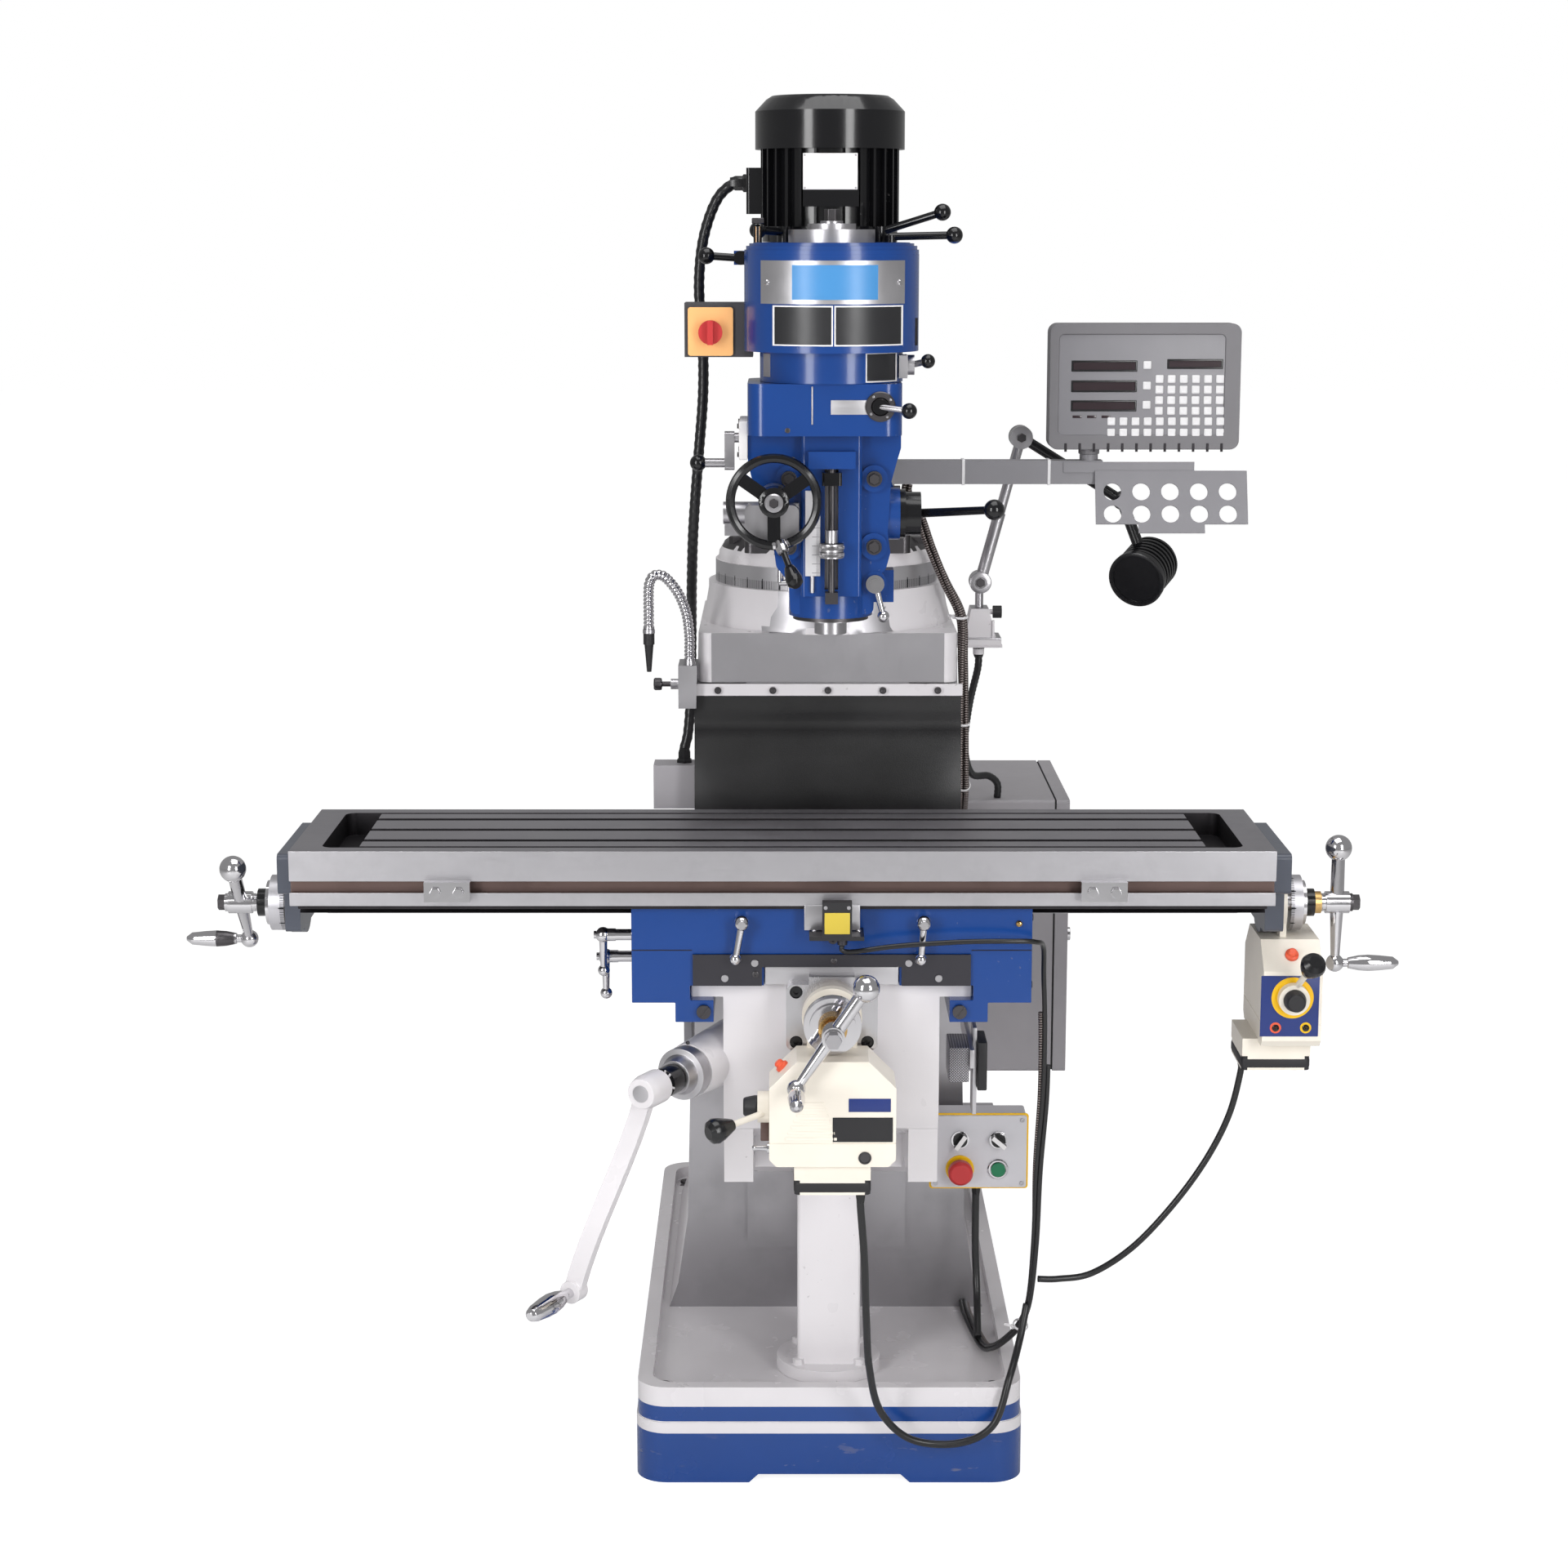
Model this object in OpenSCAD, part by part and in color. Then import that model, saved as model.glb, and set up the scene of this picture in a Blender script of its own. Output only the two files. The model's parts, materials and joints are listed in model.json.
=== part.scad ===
// Turret milling machine: knee, saddle and table in front of a column, ram and head above it.
// X runs along the table, Y runs back from the operator, Z is up.
// The origin is the middle of the base's footprint, on the floor.

/* [Base and column] */
// Width of the base casting
base_w = 572; // [540:1:600]
// Length of the base casting
base_l = 1080; // [1040:1:1120]
// Height of the base up to the rim of its coolant pan
base_h = 148; // [140:1:156]
// Depth of the coolant pan inside the rim
pan_depth = 20; // [12:1:26]
// Width of the pan's rim
rim_w = 24; // [16:1:30]
// Corner radius of the base
base_r = 46; // [30:1:60]
// Diameter of the four anchor bolt holes
anchor_d = 20; // [16:1:24]
// How far the anchor holes lie in from the base's sides
anchor_in_x = 41; // [34:1:51]
// How far the anchor holes lie in from the base's ends
anchor_in_y = 60; // [45:1:80]
// Width of the column at its top
column_w = 396; // [384:1:408]
// Width of the column at its foot
column_foot_w = 500; // [480:1:510]
// Height of the column's turret seat above the floor
column_top = 1279; // [1274:1:1284]
// Wall thickness of the column and base castings
wall = 24; // [18:1:28]
// Width of the column's dovetail ways at their face
way_w = 250; // [236:1:260]
// Depth of the column's dovetail ways
way_t = 22; // [18:1:26]
// Running clearance on the sliding ways
way_gap = 0.1; // [0.05:0.01:0.2]
// Clearance between neighbouring pieces that don't slide
seat_gap = 0.3; // [0.1:0.05:0.4]

/* [Knee] */
// Height of the knee's top ways above the floor
knee_top = 778; // [774:1:782]
// Width of the knee's top ways
knee_way_w = 398; // [390:1:404]
// Thickness of the knee's top ways
knee_way_t = 21; // [18:1:24]
// Width of the knee casting
knee_w = 306; // [296:1:312]
// Height of the knee's front face
knee_front_h = 218; // [205:1:228]
// Diameter of the elevating screw
elevating_screw_d = 38; // [32:1:42]
// Width of the square sleeve round the elevating screw
sleeve_w = 94; // [86:1:98]
// Length of the knee crank arm
knee_crank_l = 292; // [270:1:300]
// Diameter of the knee dial
knee_dial_d = 74; // [68:1:80]

/* [Saddle and table] */
// Width of the saddle along the table
saddle_w = 562; // [550:1:570]
// Length of the saddle across the table
saddle_l = 290; // [280:1:300]
// Height of the saddle from the knee's ways to its top
saddle_h = 112; // [108:1:116]
// Length of the table
table_l = 1372; // [1340:1:1400]
// Width of the table
table_w = 305; // [300:1:310]
// Thickness of the table above its dovetail
table_t = 78; // [74:1:84]
// Offset of the table from the middle of the saddle in the pose shown
table_offset = -69; // [-80:1:-58]
// Width of the T-slots at the table's top
t_slot_w = 16; // [14:0.5:18]
// Distance between the T-slots
t_slot_pitch = 76; // [70:0.5:80]
// Diameter of the table's leadscrew
leadscrew_d = 32; // [28:1:34]
// Diameter of the graduated feed dials
dial_d = 80; // [74:1:82]
// Length of a ball crank from its hub to its handle
crank_l = 90; // [84:1:94]
// Length of the turning handles
handle_l = 92; // [84:1:96]

/* [Turret, ram and head] */
// Diameter of the graduated turret ring
turret_d = 350; // [344:1:356]
// Height of the graduated turret ring
turret_ring_h = 34; // [30:1:38]
// Width of the ram
ram_w = 170; // [164:1:176]
// Height of the ram above its guide
ram_h = 99; // [94:1:104]
// Diameter of the flange that the head tilts on
tilt_flange_d = 190; // [184:1:196]
// Diameter of the pin that the head nods on
nod_pin_d = 30; // [26:1:34]
// Distance of the spindle in front of the base's middle
spindle_y = -430; // [-434:1:-428]
// Diameter of the quill
quill_d = 85.7; // [84:0.1:87]
// Diameter of the spindle nose
nose_d = 46.5; // [45:0.1:48]
// Diameter of the spindle's collet bore
collet_bore_d = 24.1; // [23:0.1:25]
// Height of the spindle nose above the floor
nose_z = 1252; // [1250:1:1254]
// Running clearance of the quill in its bore, on the radius
quill_gap = 0.05; // [0.03:0.01:0.1]
// Width of the belt housing
belt_w = 246; // [240:1:252]
// Height of the belt housing
belt_h = 150; // [146:1:154]
// Diameter of the motor body
motor_d = 202; // [196:1:208]
// Height of the motor body between belt housing and fan cover
motor_h = 132; // [126:1:138]
// Diameter of the fine feed handwheel
wheel_d = 134; // [128:1:138]

/* [Controls and fittings] */
// Width of the digital readout console
console_w = 290; // [280:1:300]
// Height of the digital readout console
console_h = 190; // [180:1:196]
// Thickness of the digital readout console
console_t = 48; // [42:1:52]
// Height of the electrical cabinet
cabinet_h = 464; // [450:1:478]
// Length of the electrical cabinet
cabinet_l = 380; // [360:1:390]
// Depth of the electrical cabinet without its door
cabinet_t = 148; // [140:1:156]
// Width of the push-button box
control_w = 147; // [140:1:154]
// Height of the push-button box
control_h = 115; // [110:1:120]
// Width of a power feed unit
feed_w = 175; // [168:1:180]
// Thickness of a power feed unit
feed_t = 84; // [80:1:86]
// Height of a power feed unit's housing
feed_h = 150; // [144:1:156]
// Diameter of the gooseneck hose for the coolant
hose_d = 16; // [14:0.5:18]

/* [Hidden] */
$fn = 48;
eps = 0.01;

// Colours of the finishes
white_paint = [0.87, 0.86, 0.87];
blue_paint = [0.1, 0.3, 0.63];
cream = [0.93, 0.91, 0.86];
grey_paint = [0.62, 0.61, 0.63];
dark_grey = [0.27, 0.27, 0.3];
black = [0.06, 0.06, 0.07];
steel = [0.72, 0.72, 0.74];
cast_iron = [0.5, 0.5, 0.51];

// Levels of the stack from the floor up
pan_z = base_h - pan_depth;
way_front = -172;
way_back = way_front + way_t;
column_back = 240;
column_foot_back = 430;
box_z = column_top - 62;
way_top = 1141;
turret_y = 20;
turret_z = column_top + way_gap;
saddle_z = knee_top + way_gap;
saddle_top = saddle_z + saddle_h;
table_dovetail_t = 18;
table_slot_depth = 11;
table_z = saddle_top - table_slot_depth + way_gap;
table_face = table_z + table_dovetail_t;
table_top = table_face + table_t;

// Places of the knee, saddle and table, front to back
knee_front = -600;
saddle_front = -620;
saddle_back = saddle_front + saddle_l;
table_y = -487.5;
table_front = table_y - table_w / 2;
pedestal_y = -400;
leadscrew_z = table_z - 11;
cross_x = 0;
cross_z = 743;

// A box between two corners
module block(from, to) {
  translate(from) cube(to - from);
}

// A round bar between two points, straight or tapered
module rod(from, to, r, end_r = undef) {
  run = to - from;
  len = norm(run);
  translate(from)
    rotate([0, acos(run[2] / len), atan2(run[1], run[0])])
      cylinder(h = len, r1 = r, r2 = end_r == undef ? r : end_r);
}

// A round bar along each axis, from one coordinate to another
module bar_x(x0, x1, y, z, r) {
  translate([x0, y, z]) rotate([0, 90, 0]) cylinder(h = x1 - x0, r = r);
}
module bar_y(y0, y1, x, z, r) {
  translate([x, y1, z]) rotate([90, 0, 0]) cylinder(h = y1 - y0, r = r);
}
module bar_z(z0, z1, x, y, r) {
  translate([x, y, z0]) cylinder(h = z1 - z0, r = r);
}

module ball(at, r) {
  translate(at) sphere(r = r);
}

// A turned piece: its half profile holds pairs of radius and distance along the axis
module turned(at, dir, profile) {
  len = norm(dir);
  translate(at) rotate([0, acos(dir[2] / len), atan2(dir[1], dir[0])])
    rotate_extrude() polygon(concat([[0, profile[0][1]]], profile, [[0, profile[len(profile) - 1][1]]]));
}

// A rectangle with true round corners, centred
module round_rect(w, l, r) {
  square([w - 2 * r, l], center = true);
  square([w, l - 2 * r], center = true);
  for (sx = [-1, 1], sy = [-1, 1])
    translate([sx * (w / 2 - r), sy * (l / 2 - r)]) circle(r = r);
}

// An upright prism with round corners between two corner points
module round_block(from, to, r) {
  mid = (from + to) / 2;
  size = to - from;
  translate([mid[0], mid[1], from[2]])
    linear_extrude(size[2]) round_rect(size[0], size[1], r);
}

// The same prism lying along Y: its round corners show from the front
module round_block_y(from, to, r) {
  mid = (from + to) / 2;
  size = to - from;
  translate([mid[0], to[1], mid[2]])
    rotate([90, 0, 0]) linear_extrude(size[1]) round_rect(size[0], size[2], r);
}

// The same prism lying along X: its round corners show from the side
module round_block_x(from, to, r) {
  mid = (from + to) / 2;
  size = to - from;
  translate([from[0], mid[1], mid[2]])
    rotate([90, 0, 90]) linear_extrude(size[0]) round_rect(size[1], size[2], r);
}

// An outline in X and Z, extruded from one Y to another
module front_prism(y0, y1, outline) {
  translate([0, y1, 0]) rotate([90, 0, 0]) linear_extrude(y1 - y0) polygon(outline);
}

// An outline in Y and Z, extruded from one X to another
module side_prism(x0, x1, outline) {
  translate([x0, 0, 0]) rotate([90, 0, 90]) linear_extrude(x1 - x0) polygon(outline);
}

// A hexagon bolt head or nut whose axis runs along Z
module hexagon(across, h) {
  cylinder(h = h, d = across / cos(30), $fn = 6);
}

// A round arm that swells to a ball at its end, turned as one piece
module turned_lever(hub, knob, arm_r, knob_r) {
  len = norm(knob - hub);
  neck = asin(arm_r / knob_r);
  step = (174 - neck) / 14;
  turned(hub, knob - hub, concat([[arm_r, 0]],
    [for (k = [0 : 14]) [knob_r * sin(neck + k * step), len - knob_r * cos(neck + k * step)]]));
}

// A round arm from a hub to a ball
module ball_lever(hub, knob, arm_r, knob_r) {
  rod(hub, knob, arm_r);
  ball(knob, knob_r);
}

// Base

module base() {
  bottom_step = 4;
  stripe_z = 94;
  notch_w = 240;
  notch_h = 13;
  color(white_paint) difference() {
    union() {
      linear_extrude(stripe_z) round_rect(base_w, base_l, base_r);
      translate([0, 0, stripe_z]) linear_extrude(base_h - stripe_z)
        round_rect(base_w - bottom_step, base_l - bottom_step, base_r - bottom_step / 2);
    }
    translate([0, 0, pan_z]) linear_extrude(pan_depth + 1)
      round_rect(base_w - 2 * rim_w, base_l - 2 * rim_w, base_r - rim_w / 2);
    front_prism(-base_l / 2 - 1, -base_l / 2 + 60, [
      [-notch_w / 2, -1], [-notch_w / 2 + 15, notch_h],
      [notch_w / 2 - 15, notch_h], [notch_w / 2, -1]
    ]);
    for (sx = [-1, 1], sy = [-1, 1])
      translate([sx * (base_w / 2 - anchor_in_x), sy * (base_l / 2 - anchor_in_y), -1]) {
        cylinder(h = base_h, d = anchor_d);
        translate([0, 0, pan_z - 4]) cylinder(h = 20, d = anchor_d + 20);
      }
    bar_z(8, base_h, 0, pedestal_y, elevating_screw_d / 2 + 6);
    // Hollow of the casting between its top and bottom plates
    block([-base_w / 2 + 90, -240, wall], [base_w / 2 - 90, base_l / 2 - 110, pan_z - wall]);
  }
}

// Column

function column_front_outline(inset) = let(w = column_w / 2 - inset, f = column_foot_w / 2 - inset) [
  [-f, pan_z], [-f + 14, pan_z + 40], [-f + 30, pan_z + 150], [-w, box_z], [w, box_z],
  [f - 30, pan_z + 150], [f - 14, pan_z + 40], [f, pan_z]
];
function column_side_outline(inset) = [
  [way_back + inset, pan_z], [way_back + inset, box_z],
  [column_back - inset, box_z], [column_back + 30 - inset, 900],
  [column_foot_back - 50 - inset, pan_z + 150], [column_foot_back - inset, pan_z]
];

// Half the width of the dovetail at its root
function way_root(gap) = way_w / 2 - way_t * tan(35) + gap;

module column() {
  seat_r = 186;
  groove_x = 88;
  strip_t = 5;
  color(white_paint) {
    difference() {
      union() {
        intersection() {
          front_prism(way_back, column_foot_back, column_front_outline(0));
          side_prism(-base_w / 2, base_w / 2, column_side_outline(0));
        }
        // Dovetail ways down the front
        translate([0, 0, 235]) linear_extrude(way_top - 235) polygon([
          [-way_root(0), way_back + 1], [-way_root(0), way_back], [-way_w / 2, way_front],
          [way_w / 2, way_front], [way_root(0), way_back], [way_root(0), way_back + 1]
        ]);
        // Head of the column: a plain front above the ways
        round_block([-column_w / 2, way_front + 2, way_top], [column_w / 2, column_back, box_z], 20);
        // Round neck that flares into the box
        translate([0, turret_y, 0]) rotate_extrude($fn = 96) polygon([
          [0, box_z - 2], [196, box_z - 2], [195, box_z + 8], [191, box_z + 22],
          [188, box_z + 38], [seat_r, box_z + 50], [seat_r, column_top], [0, column_top]
        ]);
      }
      // Hollow inside the casting
      intersection() {
        front_prism(way_back + wall, column_foot_back, column_front_outline(wall));
        side_prism(-base_w / 2, base_w / 2, column_side_outline(wall));
        block([-base_w, -base_l, pan_z + wall], [base_w, base_l, box_z - wall]);
      }
      // Turret pivot hole and two upright grooves in the head of the column
      bar_z(box_z - wall - 1, column_top + 1, 0, turret_y, 40 + way_gap);
      for (x = [-groove_x, groove_x])
        translate([x, way_front + 2, box_z - 66]) rotate([0, 0, 45]) cube([5, 5, 70], center = false);
    }
    // Clamp strip of the way cover, held by five screws
    difference() {
      block([-206, way_front - 4 - strip_t, way_top - 19], [206, way_front - 4, way_top - 1]);
      for (i = [-2 : 2]) bar_y(way_front - 12, way_front, i * 84, way_top - 10, 4 + seat_gap);
    }
    for (i = [-2 : 2]) {
      bar_y(way_front - 11, way_front + 2, i * 84, way_top - 10, 4);
      bar_y(way_front - 4 - strip_t - 4, way_front - 4 - strip_t, i * 84, way_top - 10, 6);
    }
  }
}

// Elevating screw and its sleeve

screw_gap = 0.4;
sleeve_top = 424;
pocket_top = knee_top - 98;
nut_slot_depth = 73;

module elevating_pedestal() {
  flange_r = 78;
  color(white_paint) difference() {
    union() {
      bar_z(pan_z, pan_z + 20, 0, pedestal_y, flange_r);
      round_block(
        [-sleeve_w / 2, pedestal_y - sleeve_w / 2, pan_z],
        [sleeve_w / 2, pedestal_y + sleeve_w / 2, sleeve_top], 6
      );
      for (a = [45 : 90 : 315])
        translate([64 * cos(a), pedestal_y + 64 * sin(a), pan_z + 20]) hexagon(16, 9);
    }
    bar_z(pan_z - 1, sleeve_top - 60, 0, pedestal_y, elevating_screw_d / 2 + 8);
    bar_z(pan_z - 1, sleeve_top + 1, 0, pedestal_y, elevating_screw_d / 2 + screw_gap);
  }
}

module elevating_screw() {
  screw_bottom = 254;
  color(steel) {
    bar_z(screw_bottom, knee_top - nut_slot_depth - 2, 0, pedestal_y, elevating_screw_d / 2);
    bar_z(pocket_top - 8.3, pocket_top - seat_gap, 0, pedestal_y, elevating_screw_d / 2 + 12);
  }
}

// Electrical cabinet on the column's right side

cabinet_x = 232;
cabinet_y = 140;
cabinet_z = 434;
door_t = 22;
door_gap = 3;
hinge_pin = [cabinet_x + cabinet_t + 2, cabinet_y + cabinet_l + 7];
hinge_levels = [cabinet_z + 50, cabinet_z + cabinet_h - 90];

module electrical_cabinet() {
  skin = 4;
  color(grey_paint) {
    difference() {
      round_block_x(
        [cabinet_x, cabinet_y, cabinet_z],
        [cabinet_x + cabinet_t, cabinet_y + cabinet_l, cabinet_z + cabinet_h], 6
      );
      block(
        [cabinet_x + skin, cabinet_y + skin, cabinet_z + skin],
        [cabinet_x + cabinet_t + 1, cabinet_y + cabinet_l - skin, cabinet_z + cabinet_h - skin]
      );
    }
    // Mounting plate and two rails that carry the cabinet on the column
    block(
      [cabinet_x + skin, cabinet_y + 30, cabinet_z + 40],
      [cabinet_x + skin + 4, cabinet_y + cabinet_l - 30, cabinet_z + cabinet_h - 40]
    );
    // Brackets with the pins that the door's barrels turn on
    for (z = hinge_levels) {
      block([hinge_pin[0] - 22, hinge_pin[1] - 8, z - 9], [hinge_pin[0], hinge_pin[1] + 5, z]);
      bar_z(z - 9, z, hinge_pin[0], hinge_pin[1], 5);
      bar_z(z - 1, z + 30, hinge_pin[0], hinge_pin[1], 2.5);
    }
    for (z = [cabinet_z + 60, cabinet_z + cabinet_h - 100])
      block([column_skin(z), cabinet_y + 20, z], [cabinet_x, cabinet_y + 110, z + 36]);
    // Contactors and terminals inside
    for (i = [0 : 4])
      block(
        [cabinet_x + 8, cabinet_y + 60 + i * 54, cabinet_z + 260],
        [cabinet_x + 70, cabinet_y + 102 + i * 54, cabinet_z + 340]
      );
    block(
      [cabinet_x + 8, cabinet_y + 60, cabinet_z + 90],
      [cabinet_x + 40, cabinet_y + 320, cabinet_z + 130]
    );
  }
}

// X of the column's side at a height
function column_side_x(z) = let(low = pan_z + 150, f = column_foot_w / 2 - 30, w = column_w / 2)
  f + (w - f) * (z - low) / (box_z - low);
// X just outside the painted side
function column_skin(z) = column_side_x(z) + seat_gap;

module cabinet_door() {
  lip = 3;
  x0 = cabinet_x + cabinet_t + door_gap;
  color(grey_paint) {
    difference() {
      round_block_x(
        [x0, cabinet_y, cabinet_z], [x0 + door_t, cabinet_y + cabinet_l, cabinet_z + cabinet_h], 6
      );
      block(
        [x0 - 1, cabinet_y + lip, cabinet_z + lip],
        [x0 + door_t - lip, cabinet_y + cabinet_l - lip, cabinet_z + cabinet_h - lip]
      );
    }
    // Quarter-turn lock and two hinge barrels at the back edge
    bar_x(x0 + door_t, x0 + door_t + 6, cabinet_y + 24, cabinet_z + cabinet_h / 2, 11);
    for (z = hinge_levels) difference() {
      union() {
        bar_z(z + seat_gap, z + 40, hinge_pin[0], hinge_pin[1], 5);
        block([x0, hinge_pin[1] - 9, z + seat_gap], [x0 + 4, hinge_pin[1], z + 40]);
      }
      bar_z(z - 1, z + 34, hinge_pin[0], hinge_pin[1], 2.6);
    }
  }
}

// Push-button box beside the knee

control_x = 161;
control_y = -262;
control_z = 364;
control_depth = 58;
button_r = 14;
selector_z = control_z + 77;
button_z = control_z + 30;
button_left = control_x + 44;
button_right = control_x + 103;

module control_box() {
  gasket_t = 3;
  hole_r = 11.5;
  color(grey_paint) difference() {
    union() {
      round_block_y(
        [control_x, control_y, control_z],
        [control_x + control_w, control_y + control_depth, control_z + control_h], 4
      );
      round_block_y(
        [control_x - 3, control_y + 4, control_z - 3],
        [control_x + control_w + 3, control_y + 4 + gasket_t, control_z + control_h + 3], 5
      );
      // Arm that carries the box from the column
      block(
        [control_x + 40, control_y + control_depth, control_z + 20],
        [control_x + 110, way_back + 30, control_z + 60]
      );
      block(
        [control_x + 30, way_back + 30, control_z + 10],
        [control_x + 110, way_back + 110, control_z + 70]
      );
    }
    // The arm's pad follows the slope of the column's side
    intersection() {
      front_prism(way_back - 1, column_foot_back, [
        [0, control_z - 40], [column_side_x(control_z - 40) + seat_gap, control_z - 40],
        [column_side_x(control_z + 120) + seat_gap, control_z + 120], [0, control_z + 120]
      ]);
      block([0, way_back - 1, 0], [400, column_back, 700]);
    }
    for (x = [button_left, button_right], z = [selector_z, button_z])
      bar_y(control_y - 1, control_y + 30, x, z, hole_r);
  }
}

// Round bezel, shank and head of a panel control on the box's front
module panel_button(x, z, head_r, head_l) {
  bar_y(control_y - 3, control_y - seat_gap, x, z, button_r);
  bar_y(control_y - 3, control_y + 24, x, z, 11);
  bar_y(control_y - 3 - head_l, control_y - 3, x, z, head_r);
}

module selector(x, turn) {
  panel_button(x, selector_z, 11, 4);
  translate([x, control_y - 7, selector_z]) rotate([0, turn, 0])
    block([-3.5, -13, -13], [3.5, 0, 13]);
}

module coolant_selector() {
  color(black) selector(button_left, 35);
}

module lamp_selector() {
  color(black) selector(button_right, -50);
}

module emergency_stop() {
  // The button's stem slides in the box: its collar stands off the front by the stroke
  color([0.78, 0.2, 0.18]) {
    bar_y(control_y - 12, control_y + 22, button_left, button_z, 11.5 - seat_gap);
    bar_y(control_y - 26, control_y - 12, button_left, button_z, 19);
    translate([button_left, control_y - 26, button_z]) rotate([90, 0, 0])
      cylinder(h = 5, r1 = 19, r2 = 15);
  }
}

module start_button() {
  color([0.1, 0.45, 0.3]) {
    bar_y(control_y - 7, control_y + 22, button_right, button_z, 11.5 - seat_gap);
  }
}

// Rubber cover that hangs in front of the column's ways

module way_cover() {
  t = 3;
  upper_y = way_front - 4 + 0.4;
  strip_low = way_top - 20;
  drop = strip_low - knee_top - seat_gap;
  steps = 9;
  // The sheet is flat behind its strip, sags forward below a crease and ends on the knee
  front = concat([[upper_y, way_top - 3]], [for (i = [0 : steps]) let(u = i / steps)
    [upper_y - 26 * u - 14 * sin(180 * u) - (i == 1 ? 5 : 0), strip_low - drop * u]]);
  back = [for (i = [steps + 1 : -1 : 0]) front[i] + [t, 0]];
  color(black) difference() {
    side_prism(-204, 204, concat(front, back));
    for (i = [-2 : 2]) bar_y(way_front - 12, way_front, i * 84, way_top - 10, 4 + seat_gap);
  }
}

// Coolant block with its gooseneck, and the lamp's bracket with its transformer

lamp_x = 249;
lamp_y = 50;
lamp_plate_z = 1168;
lamp_joint_z = 1272;
elbow_x = 307;
elbow_z = 1501;

// The gooseneck rises from its block, turns over and hangs to the nozzle
goose_start = [-211, -186, 1171];
goose_end = [-272, -200, 1228];
goose_points = [
  goose_start, [-211, -186, 1192], [-211, -186, 1215], [-215, -187, 1248], [-225, -190, 1276],
  [-238, -193, 1296], [-251, -196, 1308], [-264, -199, 1308], [-271, -200, 1295],
  [-272, -200, 1272], [-272, -200, 1250], goose_end
];
rib_count = 42;

function sum_to(list, n) = n <= 0 ? 0 : list[n - 1] + sum_to(list, n - 1);
// A smooth point on a route at a share of its length, by Catmull-Rom between its points
function route_point(pts, u) = let(
  n = len(pts) - 1, s = min(u * n, n - 0.000001), i = floor(s), f = s - i,
  p0 = pts[max(i - 1, 0)], p1 = pts[i], p2 = pts[i + 1], p3 = pts[min(i + 2, n)]
) 0.5 * (2 * p1 + (p2 - p0) * f + (2 * p0 - 5 * p1 + 4 * p2 - p3) * f * f
  + (3 * p1 - p0 - 3 * p2 + p3) * f * f * f);
function unit(v) = v / norm(v);
function route_dir(pts, u) = unit(route_point(pts, min(u + 0.002, 1)) - route_point(pts, max(u - 0.002, 0)));
// A ring of points square to a direction; the reference keeps neighbouring rings in line
function ring(at, dir, r, n, ref) = let(
  a = unit(cross(ref, dir)), b = cross(dir, a)
) [for (k = [0 : n - 1]) at + r * (cos(360 * k / n) * a + sin(360 * k / n) * b)];

// One closed tube through a route; radii holds the radius at each of its rings
module tube(pts, radii, n, ref = [0, 1, 0]) {
  m = len(radii);
  rings = [for (i = [0 : m - 1]) let(u = i / (m - 1)) ring(route_point(pts, u), route_dir(pts, u), radii[i], n, ref)];
  verts = [for (one = rings, p = one) p];
  walls = [for (i = [0 : m - 2], k = [0 : n - 1], side = [0, 1]) let(
    a = i * n + k, b = i * n + (k + 1) % n, c = a + n, d = b + n
  ) side == 0 ? [a, d, b] : [a, c, d]];
  last = (m - 1) * n;
  start_cap = [for (k = [1 : n - 2]) [0, k, k + 1]];
  end_cap = [for (k = [1 : n - 2]) [last, last + k + 1, last + k]];
  polyhedron(points = verts, faces = concat(walls, start_cap, end_cap), convexity = 6);
}

// A ribbed hose with its bore: an outer run of ribs joined to an inner run by two end rings
module ribbed_hose(pts, r, ribs, bore_r, n, ref = [0, 1, 0]) {
  m = 2 * ribs + 5;
  rib_r = function(i) i < 2 || i > m - 3 ? r - 1.4 : (i % 2 == 0 ? r : r - 1.6);
  at = [for (i = [0 : m - 1]) route_point(pts, i / (m - 1))];
  dir = [for (i = [0 : m - 1]) route_dir(pts, i / (m - 1))];
  outer = [for (i = [0 : m - 1]) ring(at[i], dir[i], rib_r(i), n, ref)];
  inner = [for (i = [m - 1 : -4 : 0]) ring(at[i], dir[i], bore_r, n, ref)];
  rings = concat(outer, inner);
  count = len(rings);
  verts = [for (one = rings, p = one) p];
  walls = [for (i = [0 : count - 1], k = [0 : n - 1], side = [0, 1]) let(
    j = (i + 1) % count, a = i * n + k, b = i * n + (k + 1) % n, c = j * n + k, d = j * n + (k + 1) % n
  ) side == 0 ? [a, d, b] : [a, c, d]];
  polyhedron(points = verts, faces = walls, convexity = 10);
}

// A pad on the column's left side, its inner face along the side's slope
module left_pad(y0, y1, z0, z1, reach) {
  front_prism(y0, y1, [[-reach, z0], [-reach, z1], [-column_skin(z1), z1], [-column_skin(z0), z0]]);
}

// Least free gap between two stretches of the gooseneck more than four diameters apart
goose_run = [for (i = [0 : 80]) route_point(goose_points, i / 80)];
goose_gap = min([for (i = [0 : 58], j = [i + 22 : 80]) norm(goose_run[i] - goose_run[j])]) - hose_d;
echo(gooseneck_least_self_gap = goose_gap);

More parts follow.
